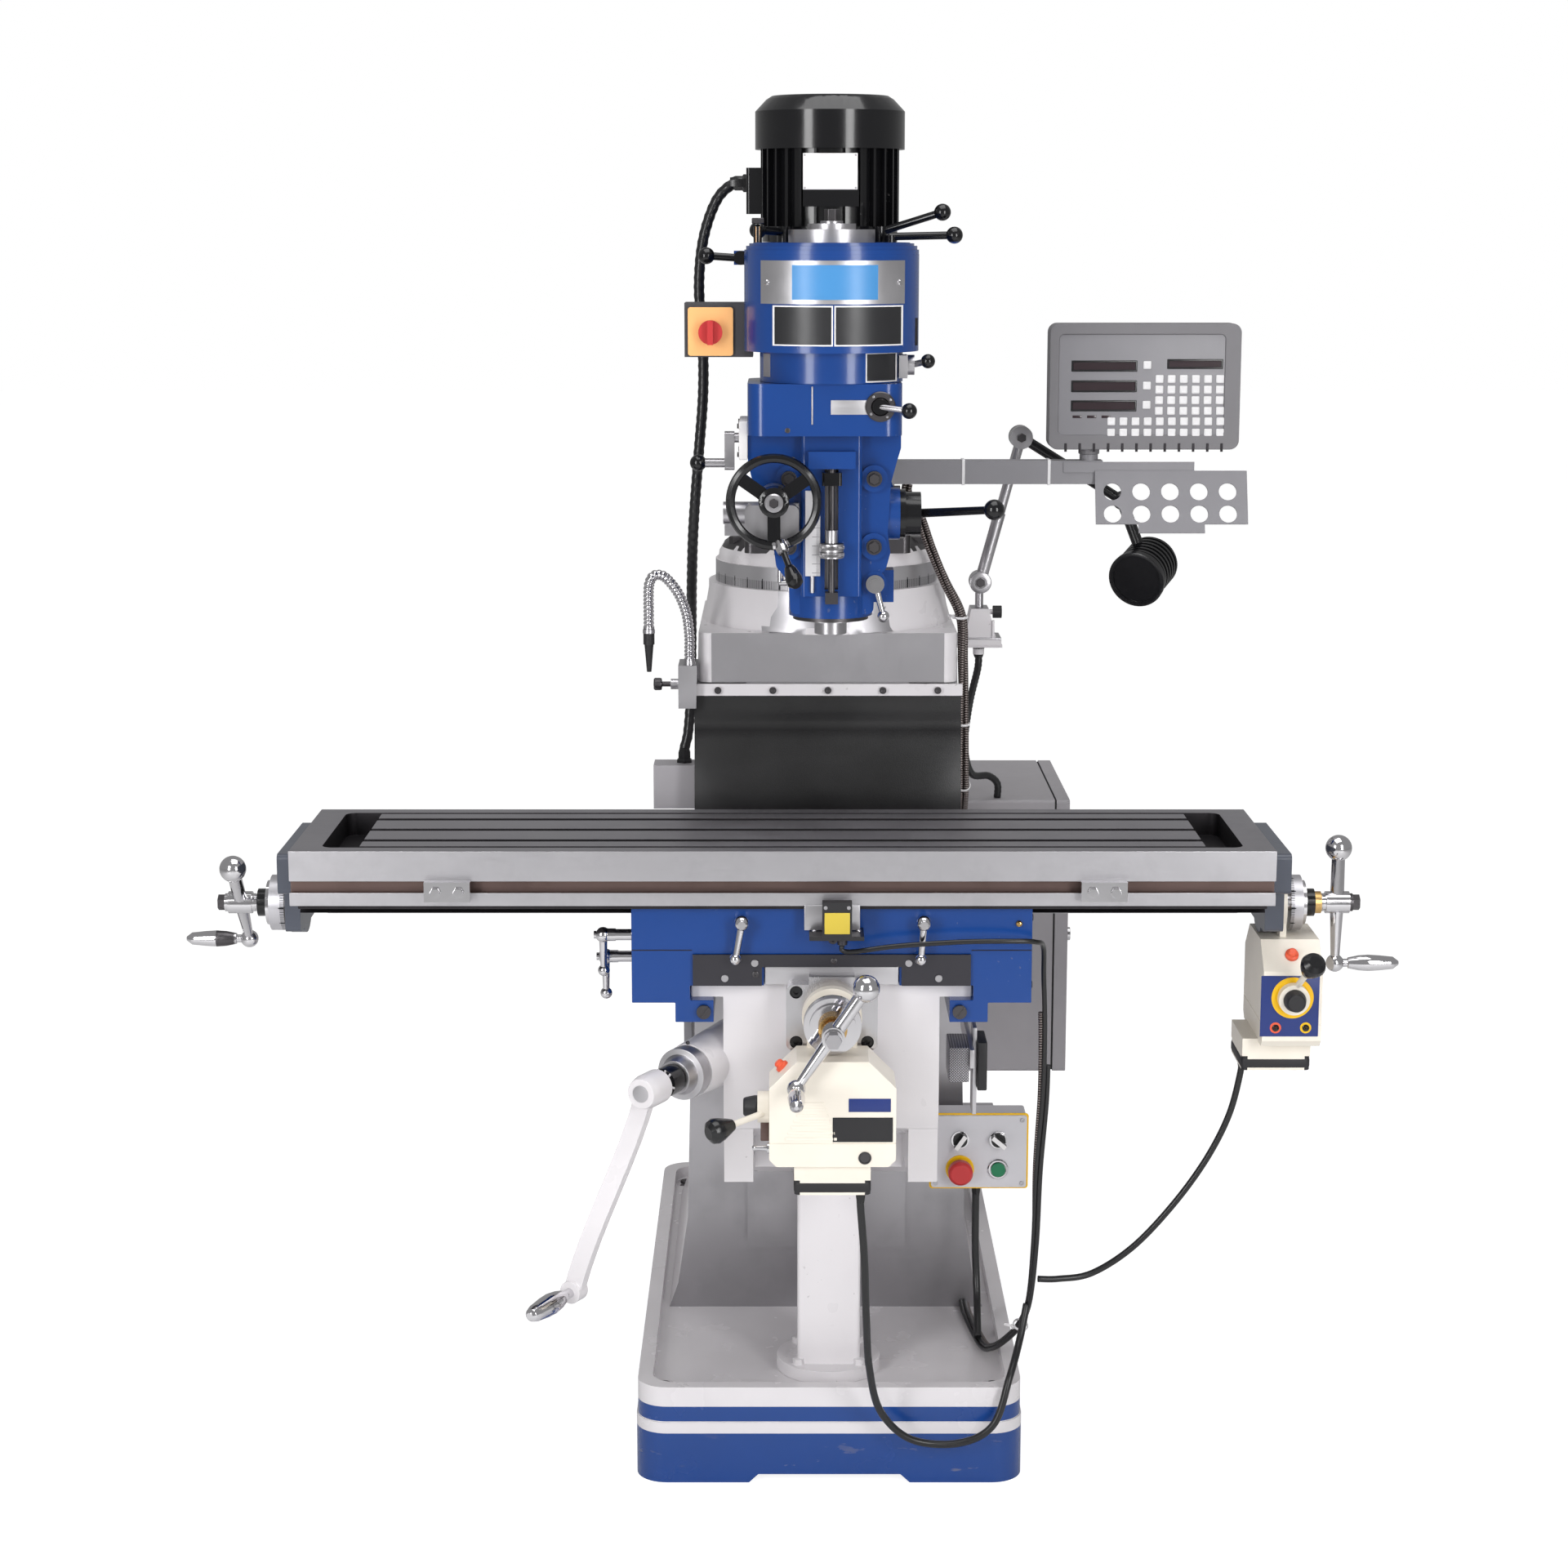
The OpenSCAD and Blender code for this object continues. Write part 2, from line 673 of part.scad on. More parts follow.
module column_fittings() {
  color(steel) {
    // Coolant valve block on the column's left side, notched round the way cover and its strip
    difference() {
      left_pad(way_front - 28, way_front + 46, 1105, goose_start[2], 228);
      block([-206 - seat_gap, way_front - 20, 1104], [0, way_front, way_top - 0.7]);
      bar_z(1150, 1172, goose_start[0], goose_start[1], 6);
    }
    bar_x(-240, -227, way_front - 8, 1140, 8);
    ribbed_hose(goose_points, hose_d / 2, rib_count, 4, 8);
    // Nozzle at the end of the gooseneck
    difference() {
      union() {
        bar_z(1204, goose_end[2], goose_end[0], goose_end[1], 8.5);
        translate([goose_end[0], goose_end[1], 1162]) cylinder(h = 42, r1 = 3.5, r2 = 7);
      }
      bar_z(1160, goose_end[2] + 1, goose_end[0], goose_end[1], 2.4);
    }
  }
  // Junction box that takes the motor's conduit
  color(grey_paint) left_pad(way_back, way_back + 54, 940, 1008, 269);
  color(white_paint) {
    // Angle bracket on the column's right side
    front_prism(lamp_y - 30, lamp_y + 30, [
      [column_skin(lamp_plate_z - 36), lamp_plate_z - 36],
      [column_skin(lamp_plate_z - 36) + 4, lamp_plate_z - 36],
      [column_skin(lamp_plate_z) + 4, lamp_plate_z], [281, lamp_plate_z],
      [281, lamp_plate_z + 4], [column_skin(lamp_plate_z + 4), lamp_plate_z + 4]
    ]);
    for (y = [lamp_y - 16, lamp_y + 16])
      translate([column_skin(lamp_plate_z - 20) + 3, y, lamp_plate_z - 20]) rotate([0, 90, 0]) hexagon(13, 7);
    block([lamp_x - 38, lamp_y - 34, lamp_plate_z + 4], [lamp_x + 30, lamp_y + 34, lamp_plate_z + 14]);
    // Tapered transformer case and the post with the lower joint
    front_prism(lamp_y - 26, lamp_y + 26, [
      [lamp_x - 28, lamp_plate_z + 14], [lamp_x - 18, lamp_joint_z - 42],
      [lamp_x + 10, lamp_joint_z - 42], [lamp_x + 22, lamp_plate_z + 14]
    ]);
    bar_z(lamp_joint_z - 42, lamp_joint_z - 12, lamp_x - 4, lamp_y, 6.5);
    difference() {
      union() {
        bar_y(lamp_y - 7, lamp_y + 7, lamp_x - 4, lamp_joint_z, 17);
        bar_z(lamp_joint_z - 20, lamp_joint_z, lamp_x - 4, lamp_y, 6.5);
      }
      bar_y(lamp_y - 20, lamp_y + 20, lamp_x - 4, lamp_joint_z, 5 + seat_gap);
    }
    // Clamping knob beside the transformer and the cable gland below
    bar_x(lamp_x + 6, lamp_x + 18, lamp_y, lamp_joint_z - 50, 4);
    bar_x(lamp_x + 18, lamp_x + 32, lamp_y, lamp_joint_z - 50, 10);
    bar_z(lamp_plate_z - 14, lamp_plate_z, lamp_x - 4, lamp_y, 9);
  }
}

// Lamp arms: the lower arm turns on its post, the upper arm with the lamp turns at the elbow

lamp_pivot = [lamp_x - 4, lamp_y, lamp_joint_z];
lamp_elbow = [elbow_x, lamp_y, elbow_z];
lamp_end = [470, lamp_y + 2, 1400];
lamp_body = [504, 26, 1290];

module lamp_lower_arm() {
  arm_mid = lamp_pivot + 0.48 * (lamp_elbow - lamp_pivot) - [0, 17.5, 0];
  color(steel) {
    bar_y(lamp_y - 26, lamp_y + 14, lamp_pivot[0], lamp_pivot[2], 5);
    bar_y(lamp_y - 28, lamp_y - 7 - seat_gap, lamp_pivot[0], lamp_pivot[2], 17);
    rod(lamp_pivot - [0, 17.5, 0], arm_mid, 9.5);
    rod(arm_mid, lamp_elbow - [0, 17.5, 0], 8);
    bar_y(lamp_y - 28, lamp_y - 7 - seat_gap, elbow_x, elbow_z, 18);
    bar_y(lamp_y - 10, lamp_y + 14, elbow_x, elbow_z, 5);
  }
}

module lamp_head() {
  aim = unit([-0.42, -0.86, -0.28]);
  color(black) {
    difference() {
      bar_y(lamp_y - 7, lamp_y + 11, elbow_x, elbow_z, 18);
      bar_y(lamp_y - 10, lamp_y + 15, elbow_x, elbow_z, 5 + seat_gap);
    }
    difference() {
      rod(lamp_elbow + [0, 2, 0], lamp_end, 8);
      bar_y(lamp_y - 10, lamp_y + 15, elbow_x, elbow_z, 5 + seat_gap);
    }
    ball(lamp_end, 15);
    rod(lamp_end, lamp_body + [0, 12, 20], 9);
    // Ribbed lamp housing with its rim and recessed glass
    difference() {
      union() {
        rod(lamp_body - 46 * aim, lamp_body + 34 * aim, 40);
        for (i = [0 : 5]) rod(lamp_body + (-40 + i * 11) * aim, lamp_body + (-35 + i * 11) * aim, 43);
        rod(lamp_body + 26 * aim, lamp_body + 36 * aim, 45);
        rod(lamp_body - 60 * aim, lamp_body - 46 * aim, 24, 38);
      }
      rod(lamp_body + 30 * aim, lamp_body + 40 * aim, 38);
    }
  }
}

// Knee

knee_back = way_back - way_gap;
crank_turn = 28;
crank_axis = [-sin(crank_turn), -cos(crank_turn), 0];
crank_side = [cos(crank_turn), -sin(crank_turn), 0];
knee_crank_z = 655;
crank_root = [-140, -505, knee_crank_z];
boss_end = crank_root + 130 * crank_axis;

module knee() {
  ledge = 26;
  pocket = sleeve_w + 2 * 8;
  front_low = knee_top - knee_front_h;
  back_low = 412;
  half = knee_w / 2;
  color(white_paint) difference() {
    union() {
      side_prism(-half, half, [
        [knee_front, knee_top - 10], [knee_front, front_low + 30], [knee_front + 12, front_low],
        [-330, back_low], [knee_back, back_low], [knee_back, knee_top - 10]
      ]);
      round_block(
        [-knee_way_w / 2, knee_front, knee_top - knee_way_t],
        [knee_way_w / 2, knee_back, knee_top], 4
      );
      // Lower skirt plates either side of the front
      for (s = [-1, 1])
        side_prism(s * (half - 21) - 21, s * (half - 21) + 21, [
          [knee_front + 16, front_low + 4], [knee_front + 24, front_low - 84],
          [-400, front_low - 96], [-330, front_low + 4]
        ]);
      // Rounded boss of the knee crank at the left front corner
      rod(crank_root - 40 * crank_axis, boss_end, 47, knee_dial_d / 2 + 1);
    }
    // Female dovetail on the column's ways
    translate([0, 0, back_low - 1]) linear_extrude(knee_top - back_low + 2) polygon([
      [-way_root(way_gap), knee_back + 1], [-way_root(way_gap), way_back],
      [-way_w / 2 - way_gap, way_front - way_gap], [way_w / 2 + way_gap, way_front - way_gap],
      [way_root(way_gap), way_back], [way_root(way_gap), knee_back + 1]
    ]);
    // Slot for the cross nut along the top, and the pocket round the elevating sleeve
    block([-44, knee_front - 1, knee_top - nut_slot_depth], [44, -225, knee_top + 1]);
    block(
      [-pocket / 2, pedestal_y - pocket / 2, back_low - 60],
      [pocket / 2, pedestal_y + pocket / 2, pocket_top]
    );
    bar_z(pocket_top - 1, knee_top, 0, pedestal_y, elevating_screw_d / 2 + screw_gap);
    // Lower plates stand free of the sleeve
    block([-half + 42, knee_front - 1, back_low - 80], [half - 42, -360, front_low - 20]);
    // Bore of the crank shaft
    rod(crank_root - 20 * crank_axis, boss_end + 2 * crank_axis, 12 + screw_gap);
  }
}

module knee_crank() {
  hub_at = crank_root + 248 * crank_axis;
  turn = 16;
  drop = [
    -knee_crank_l * sin(turn) * crank_side[0], -knee_crank_l * sin(turn) * crank_side[1],
    -knee_crank_l * cos(turn)
  ];
  offset_out = 66;
  // The arm leaves its hub, swings outward in an S and ends parallel to the hub
  arm_end = hub_at + drop + offset_out * crank_axis;
  bend = [for (i = [0 : 8]) [offset_out * (0.5 - 0.5 * cos(22.5 * i)), knee_crank_l * i / 8]];
  arm_outline = concat(
    [for (p = bend) p - [8, 0]],
    [for (i = [8 : -1 : 0]) bend[i] + [8, 0]]
  );
  down = unit(drop);
  across = cross(crank_axis, down);
  dial_end = knee_dial_d / 2;
  // Shaft with the graduated dial and the toothed clutch, measured along the axis from the root
  color(steel) turned(crank_root, crank_axis, [
    [12, -18], [12, 132], [dial_end, 132], [dial_end, 154], [29, 155], [24, 172], [12, 173],
    [12, 177], [21, 177], [21, 206], [12, 207], [12, 240]
  ]);
  color(white_paint) {
    difference() {
      turned(hub_at, crank_axis, [[24, -30], [24, 0], [21, 16]]);
      turned(hub_at, crank_axis, [[9, 2], [9, 18]]);
    }
    multmatrix([for (i = [0 : 2]) [crank_axis[i], down[i], across[i], hub_at[i]]])
      linear_extrude(26, center = true) polygon(arm_outline);
    turned(arm_end, crank_axis, [[16, -11], [16, 12]]);
  }
  color(steel) turned(arm_end, crank_axis, [
    [7, 5], [7, 26], [9, 28], [13, 44], [15, 60], [14.5, 76], [12, 100], [9, 110], [5, 114]
  ]);
}

// Cross feed: bearing bracket on the knee's front, screw with dial and ball crank

bracket_t = 45;
bracket_front = knee_front - bracket_t;
cross_shaft_r = 12;
cross_screw_r = 15;
ring_front = bracket_front - 20;

module cross_feed_bracket() {
  half = 64;
  color(steel) difference() {
    union() {
      round_block_y(
        [-half, bracket_front, cross_z - 52], [half, knee_front - way_gap, cross_z + 43], 10
      );
      block([-32, bracket_front, cross_z + 40], [32, knee_front - way_gap, cross_z + 54]);
    }
    bar_y(bracket_front - 1, knee_front, cross_x, cross_z, cross_shaft_r + screw_gap);
    for (sx = [-1, 1], sz = [-1, 1])
      bar_y(bracket_front - 1, bracket_front + 8, sx * 50, cross_z - 4 + sz * 36, 9);
  }
  color(black) for (sx = [-1, 1], sz = [-1, 1])
    translate([sx * 50, bracket_front + 8, cross_z - 4 + sz * 36]) rotate([90, 0, 0])
      difference() {
        cylinder(h = 6, r = 8);
        translate([0, 0, 2]) hexagon(7, 5);
      }
}

// Crank with a counterweight ball, an arm and a turning handle; it lies along Z, its axis along Y
module ball_crank(handle_dir) {
  ball_off = 80;
  color(steel) {
    rotate([90, 0, 0]) cylinder(h = 34, r = 16, center = true);
    rotate([90, 0, 0]) cylinder(h = 44, r = 13, center = true);
    // Both arms with their balls are turned as one piece
    turned([0, 0, 0], [0, 0, 1], concat(
      [for (a = [-84 : 12 : 60]) [13 * cos(a), 13 * sin(a) - crank_l]], [[10, 0]],
      [for (a = [-60 : 12 : 84]) [19 * cos(a), 19 * sin(a) + ball_off]]
    ));
    turned([0, 0, -crank_l], [0, handle_dir, 0], [
      [6, 0], [6, 18], [8, 19], [11, 34], [12, 48], [11, 64], [9, handle_l - 8], [3, handle_l]
    ]);
  }
}

// Graduated dial with a knurled lock nut, its axis along Y with the nut in front
module feed_dial(back, thick) {
  bar_y(back - thick, back, 0, 0, dial_d / 2);
  bar_y(back - thick - 6, back - thick, 0, 0, dial_d / 2 - 8);
  bar_y(back - thick - 20, back - thick - 6, 0, 0, 20);
}

module cross_feed_crank() {
  dial_back = ring_front - 24;
  crank_y = -758;
  translate([cross_x, 0, cross_z]) {
    color(steel) {
      bar_y(crank_y - 18, knee_front + 20, 0, 0, cross_shaft_r);
      bar_y(knee_front + 20, saddle_back - 30, 0, 0, cross_screw_r);
      feed_dial(dial_back, 20);
    }
    translate([0, crank_y, 0]) rotate([0, 34, 0]) ball_crank(-1);
    color(black) translate([0, crank_y - 22, 0]) rotate([90, 0, 0]) hexagon(20, 10);
  }
}

// Power feed unit in its own frame: screw axis along Y through the origin, housing hanging below
feed_top = -43;
shoulder = 38;
slope = [-1, 0, 1] / sqrt(2);
function button_seat(y) = [-feed_w / 2 + shoulder / 2, y, feed_top - shoulder / 2];

module feed_unit(ring_back, ring_t, back) {
  front = back - feed_t;
  middle = back - feed_t / 2;
  base_z = feed_top - feed_h;
  cap_half = 53;
  cap_in = 8;
  cap_out = 22;
  cap_t = 22;
  color(cream) difference() {
    union() {
      // Ring gear housing round the screw, and its neck
      bar_y(ring_back - ring_t, ring_back, 0, 0, 42);
      block([-35, ring_back - ring_t, feed_top - 20], [35, ring_back, 0]);
      front_prism(front, back, [
        [-feed_w / 2 + 10, base_z], [-feed_w / 2, base_z + 10], [-feed_w / 2, feed_top - shoulder],
        [-feed_w / 2 + shoulder, feed_top], [feed_w / 2 - shoulder, feed_top],
        [feed_w / 2, feed_top - shoulder], [feed_w / 2, base_z + 10], [feed_w / 2 - 10, base_z]
      ]);
      // Cap of the motor, further back than the housing
      block([-cap_half, front + cap_in, base_z - cap_t], [cap_half, back + cap_out, base_z + 4]);
    }
    bar_y(ring_back - ring_t - 1, ring_back + 1, 0, 0, cross_shaft_r + 1);
    // Bore of the push button in the shoulder
    rod(button_seat(middle) - 6.5 * slope, button_seat(middle) + 12 * slope, 9.8);
    // Seam between the two halves of the housing
    translate([0, middle, base_z + 34]) difference() {
      cube([feed_w + 2, feed_t + 2, 1.2], center = true);
      cube([feed_w - 2, feed_t - 2, 3], center = true);
    }
  }
  color(black) round_block(
    [-cap_half, front + cap_in, base_z - cap_t - 21], [cap_half, back + cap_out, base_z - cap_t], 8
  );
}

// The lever's ring and the speed dial share an axis this far below the screw
hub_drop = 119;
hub_t = 16;
dial_shaft_r = 7;
dial_gap = 0.8;

// Selector lever: its ring's axis is Y and its grip leans out from the control face
module feed_lever(reach, rise) {
  hub_r = 22;
  root = (hub_r - 3) * unit([reach, 0, rise]) - [0, 9, 0];
  grip = [reach, -66, rise];
  way = unit(grip - root);
  color(cream) {
    difference() {
      rotate([90, 0, 0]) cylinder(h = hub_t, r = hub_r);
      translate([0, 1, 0]) rotate([90, 0, 0]) cylinder(h = hub_t + 2, r = dial_shaft_r + dial_gap);
    }
    turned(root, way, [[4.5, 0], [4.5, norm(grip - root) - 18]]);
  }
  color(black) turned(grip, way, [[8, -20], [11, -13], [16, 0], [18, 9], [16, 16], [9, 21]]);
}

// Speed dial in front of the lever's ring, with its shaft through the ring
module feed_dial_knob() {
  color(black) turned([0, 0, 0], [0, -1, 0], [
    [dial_shaft_r, 0], [dial_shaft_r, hub_t + seat_gap], [16, hub_t + seat_gap], [16, hub_t + 4], [13, hub_t + 18],
    [11, hub_t + 20]
  ]);
}

// Push button in the shoulder of the housing, in the unit's own frame
module feed_button(y) {
  color([0.8, 0.15, 0.12])
    turned(button_seat(y) - 4 * slope, slope, [[9.5, 0], [9.5, 8], [6.5, 9.5], [6.5, 14], [4, 16]]);
}

cross_feed_back = -652;
cross_feed_front = cross_feed_back - feed_t;
panel_left = -feed_w / 2;

module cross_feed_unit() {
  translate([cross_x, 0, cross_z]) feed_unit(bracket_front - seat_gap, 18, cross_feed_back);
}

module cross_feed_lever() {
  translate([panel_left - seat_gap, cross_feed_back - feed_t / 2, cross_z - hub_drop])
    rotate([0, 0, -90]) feed_lever(60, -14);
}

module cross_feed_dial() {
  translate([panel_left - seat_gap, cross_feed_back - feed_t / 2, cross_z - hub_drop])
    rotate([0, 0, -90]) feed_dial_knob();
}

module cross_feed_button() {
  translate([cross_x, 0, cross_z]) feed_button(cross_feed_back - feed_t / 2);
}

// Saddle

wing_in = knee_way_w / 2 + way_gap;
lug_in = 166;
lug_z = saddle_z - 53;
nut_w = 84;

function table_root(gap) = 106 + gap;
function table_foot(gap) = 116 + gap;

module saddle() {
  half = saddle_w / 2;
  wing_z = saddle_z - 25;
  channel = 31;
  under = knee_top - knee_way_t - way_gap;
  color(blue_paint) difference() {
    union() {
      block([-half, saddle_front, saddle_z], [half, saddle_back, saddle_top]);
      for (s = [-1, 1]) {
        block(
          [s > 0 ? wing_in : -half, saddle_front, wing_z],
          [s > 0 ? half : -wing_in, saddle_back, saddle_z + 1]
        );
        // Lug that reaches under the knee's way
        block(
          [s > 0 ? lug_in : -220, saddle_front, lug_z],
          [s > 0 ? 220 : -lug_in, saddle_back, under]
        );
        block(
          [s > 0 ? wing_in : -220, saddle_front, lug_z],
          [s > 0 ? 220 : -wing_in, saddle_back, wing_z + 1]
        );
      }
      // Nut of the cross screw hangs into the knee's slot
      block([-nut_w / 2, -445, cross_z - 30], [nut_w / 2, -385, saddle_z + 30]);
    }
    // Channel over the cross-feed bracket, along the middle of the underside
    difference() {
      block([-95, saddle_front - 1, saddle_z - 1], [95, saddle_back + 1, saddle_z + 28]);
      block([-nut_w / 2, -445, saddle_z - 2], [nut_w / 2, -385, saddle_z + 29]);
    }
    bar_y(-460, -370, cross_x, cross_z, cross_screw_r + screw_gap);
    // Female dovetail for the table and the channel for its screw
    translate([-half - 1, 0, 0]) side_prism(0, saddle_w + 2, [
      [table_y - table_root(way_gap), saddle_top + 1], [table_y - table_root(way_gap), saddle_top],
      [table_y - table_foot(way_gap), saddle_top - table_slot_depth],
      [table_y + table_foot(way_gap), saddle_top - table_slot_depth],
      [table_y + table_root(way_gap), saddle_top], [table_y + table_root(way_gap), saddle_top + 1]
    ]);
    difference() {
      block([-half - 1, table_y - channel, leadscrew_z - 24], [half + 1, table_y + channel, saddle_top]);
      block([-70, table_y - channel, leadscrew_z - 25], [70, table_y + channel, saddle_top + 1]);
    }
    bar_x(-half - 1, half + 1, table_y, leadscrew_z, leadscrew_d / 2 + screw_gap);
  }
}

// Wiper plate, gib screws and the limit switch with its bracket, all on the saddle

switch_x = 6;

module saddle_fittings() {
  plate_t = 5;
  front = saddle_front - seat_gap;
  color(dark_grey) {
    front_prism(front - plate_t, front, [
      [-195, saddle_z + 1], [-195, saddle_z + 46], [195, saddle_z + 46], [195, saddle_z + 1],
      [98, saddle_z + 1], [98, saddle_z + 28], [-98, saddle_z + 28], [-98, saddle_z + 1]
    ]);
    for (s = [-1, 1]) {
      bar_y(front - plate_t - 2, front - plate_t, s * 150, saddle_z + 12, 5);
      bar_y(front - plate_t - 2, front - plate_t, s * 108, saddle_z + 34, 5);
    }
    // Slotted gib adjusting screws in the lugs
    for (s = [-1, 1]) difference() {
      bar_y(front - 7, front, s * 180, lug_z + 16, 10);
      translate([s * 180, front - 7, lug_z + 16]) rotate([0, 35, 0]) cube([2.5, 4, 24], center = true);
    }
  }
  color(black) {
    // Limit switch on its bracket, with its roller
    block([switch_x - 38, table_front - 36, saddle_top - 34], [switch_x + 38, front, saddle_top - 28]);
    block([switch_x - 20, table_front - 36, saddle_top - 28], [switch_x + 21, table_front - 18, saddle_top + 20]);
    bar_y(table_front - 19, table_front - 8, switch_x, saddle_top + 8, 4);
    bar_z(saddle_top - 44, saddle_top - 34, switch_x + 8, table_front - 16, 7);
  }
}

// Short clamping lever with a ball at each end, its hub axis along Y
module clamp_lever(tilt, reach) {
  rotate([90, 0, 0]) cylinder(h = 24, r = 9);
  rotate([90, 0, 0]) cylinder(h = 31, r = 5.5);
  translate([0, -18, 0]) rotate([0, tilt, 0]) {
    sphere(r = 11);
    rod([0, 0, 0], [0, 0, -reach], 6, 4.5);
    ball([0, 0, -reach], 8.5);
  }
}

lock_z = saddle_top - 18;

module table_lock_left() {
  color(steel) translate([-126, saddle_front - seat_gap, lock_z]) clamp_lever(10, 52);
}

module table_lock_right() {
  color(steel) translate([128, saddle_front - seat_gap, lock_z]) clamp_lever(4, 52);
}

// The two locks on the saddle's left side have their hubs along X
module side_lock(y, z, tilt) {
  color(steel) translate([-saddle_w / 2 - seat_gap, y, z]) rotate([0, 0, -90]) {
    rotate([90, 0, 0]) cylinder(h = 34, r = 8);
    translate([0, -24, 0]) clamp_lever(tilt, 56);
  }
}

module saddle_lock_front() {
  side_lock(-575, saddle_z + 63, 12);
}

module saddle_lock_rear() {
  side_lock(-520, saddle_z + 18, 6);
}

// Table

table_x0 = table_offset - table_l / 2;
table_x1 = table_offset + table_l / 2;

// Pockets across both ends of the top that the slots and gutters run out into
pocket_in = 42;
pocket_w = 52;
gutter_y = 121.5;
gutter_w = 9;
slot_x0 = table_x0 + pocket_in + pocket_w / 2;
slot_x1 = table_x1 - pocket_in - pocket_w / 2;

module t_slot(y) {
  neck = 15;
  foot_w = t_slot_w + 12;
  foot_h = 12;
  block([slot_x0, y - t_slot_w / 2, table_top - neck], [slot_x1, y + t_slot_w / 2, table_top + 1]);
  block([slot_x0, y - foot_w / 2, table_top - neck - foot_h], [slot_x1, y + foot_w / 2, table_top - neck + eps]);
}

// One pocket; its outer side, at x, has round corners
module end_pocket(x, inward) {
  depth = 34;
  corner = 16;
  reach = gutter_y + gutter_w / 2;
  translate([x, table_y, table_top - depth]) linear_extrude(depth + 1) {
    translate([inward * (pocket_w + corner) / 2, 0]) square([pocket_w - corner, 2 * reach], center = true);
    translate([inward * pocket_w / 2, 0]) square([pocket_w, 2 * (reach - corner)], center = true);
    for (sy = [-1, 1]) translate([inward * corner, sy * (reach - corner)]) circle(r = corner);
  }
}

module table() {
  groove_top = table_face + 35;
  color(cast_iron) difference() {
    union() {
      block([table_x0, table_front, table_face], [table_x1, table_y + table_w / 2, table_top]);
      // Male dovetail under the table
      side_prism(table_x0 + 8, table_x1 - 8, [
        [table_y - table_root(0) , table_face + 1], [table_y - table_root(0), table_z + table_slot_depth],
        [table_y - table_foot(0), table_z], [table_y + table_foot(0), table_z],
        [table_y + table_root(0), table_z + table_slot_depth], [table_y + table_root(0), table_face + 1]
      ]);
      // Skirt that shows between table and saddle
      block(
        [table_x0 + 10, table_front + 8, table_face - 6],
        [table_x1 - 10, table_y + table_w / 2 - 8, table_face + 1]
      );
    }
    for (i = [-1, 0, 1]) t_slot(table_y + i * t_slot_pitch);
    for (side = [-1, 1])
      block(
        [slot_x0, table_y + side * gutter_y - gutter_w / 2, table_top - 8],
        [slot_x1, table_y + side * gutter_y + gutter_w / 2, table_top + 1]
      );
    end_pocket(table_x0 + pocket_in, 1);
    end_pocket(table_x1 - pocket_in, -1);
    // Stop groove along the front: a narrow mouth with a wider foot behind
    block([table_x0 - 1, table_front - 1, groove_top - 16], [table_x1 + 1, table_front + 7, groove_top]);
    block([table_x0 - 1, table_front + 7 - eps, groove_top - 20], [table_x1 + 1, table_front + 13, groove_top + 4]);
    // Channel for the leadscrew
    block([table_x0 - 1, table_y - 30, table_z - 1], [table_x1 + 1, table_y + 30, leadscrew_z + 24]);
  }
}

// End brackets with their bearings, and the two travel stops

left_plate = 22;
right_plate = 27;

module end_bracket(x, out, plate) {
  x0 = out > 0 ? x + way_gap : x - way_gap - plate;
  difference() {
    union() {
      round_block_x([x0, table_y - 118, table_z + 26], [x0 + plate, table_y + 118, table_top - 12], 8);
      round_block_x([x0, table_y - 64, leadscrew_z - 30], [x0 + plate, table_y + 64, table_top - 20], 8);
      bar_x(x0, x0 + plate, table_y, leadscrew_z, 43);
    }
    bar_x(x0 - 1, x0 + plate + 1, table_y, leadscrew_z, 12 + screw_gap);
    for (s = [-1, 1])
      bar_x(x0 - 1, x0 + plate + 1, table_y + s * 92, table_top - 34, 6);
  }
  for (s = [-1, 1])
    bar_x(x0 + (out > 0 ? plate - 7 : 0), x0 + (out > 0 ? plate : 7), table_y + s * 92, table_top - 34, 6);
}

module table_fittings() {
  groove_mid = table_face + 27;
  color(grey_paint) {
    end_bracket(table_x0, -1, left_plate);
    end_bracket(table_x1, 1, right_plate);
  }
  color(steel) for (x = [-566, 345]) {
    // Stop dog: a block outside, a neck in the groove and a clamp behind
    block([x, table_front - 16, groove_mid - 18], [x + 64, table_front - seat_gap, groove_mid + 10]);
    block([x + 6, table_front - seat_gap - eps, groove_mid - 7], [x + 58, table_front + 8, groove_mid + 7]);
    block([x + 4, table_front + 7.2, groove_mid - 10], [x + 60, table_front + 12.6, groove_mid + 10]);
    for (dx = [16, 48]) translate([x + dx, table_front - 16, groove_mid - 4]) rotate([90, 0, 0]) hexagon(13, 7);
  }
}

// Leadscrew with a dial and a ball crank at each end

left_bearing = table_x0 - way_gap - left_plate;
right_bearing = table_x1 + way_gap + right_plate;
table_ring_t = 9;

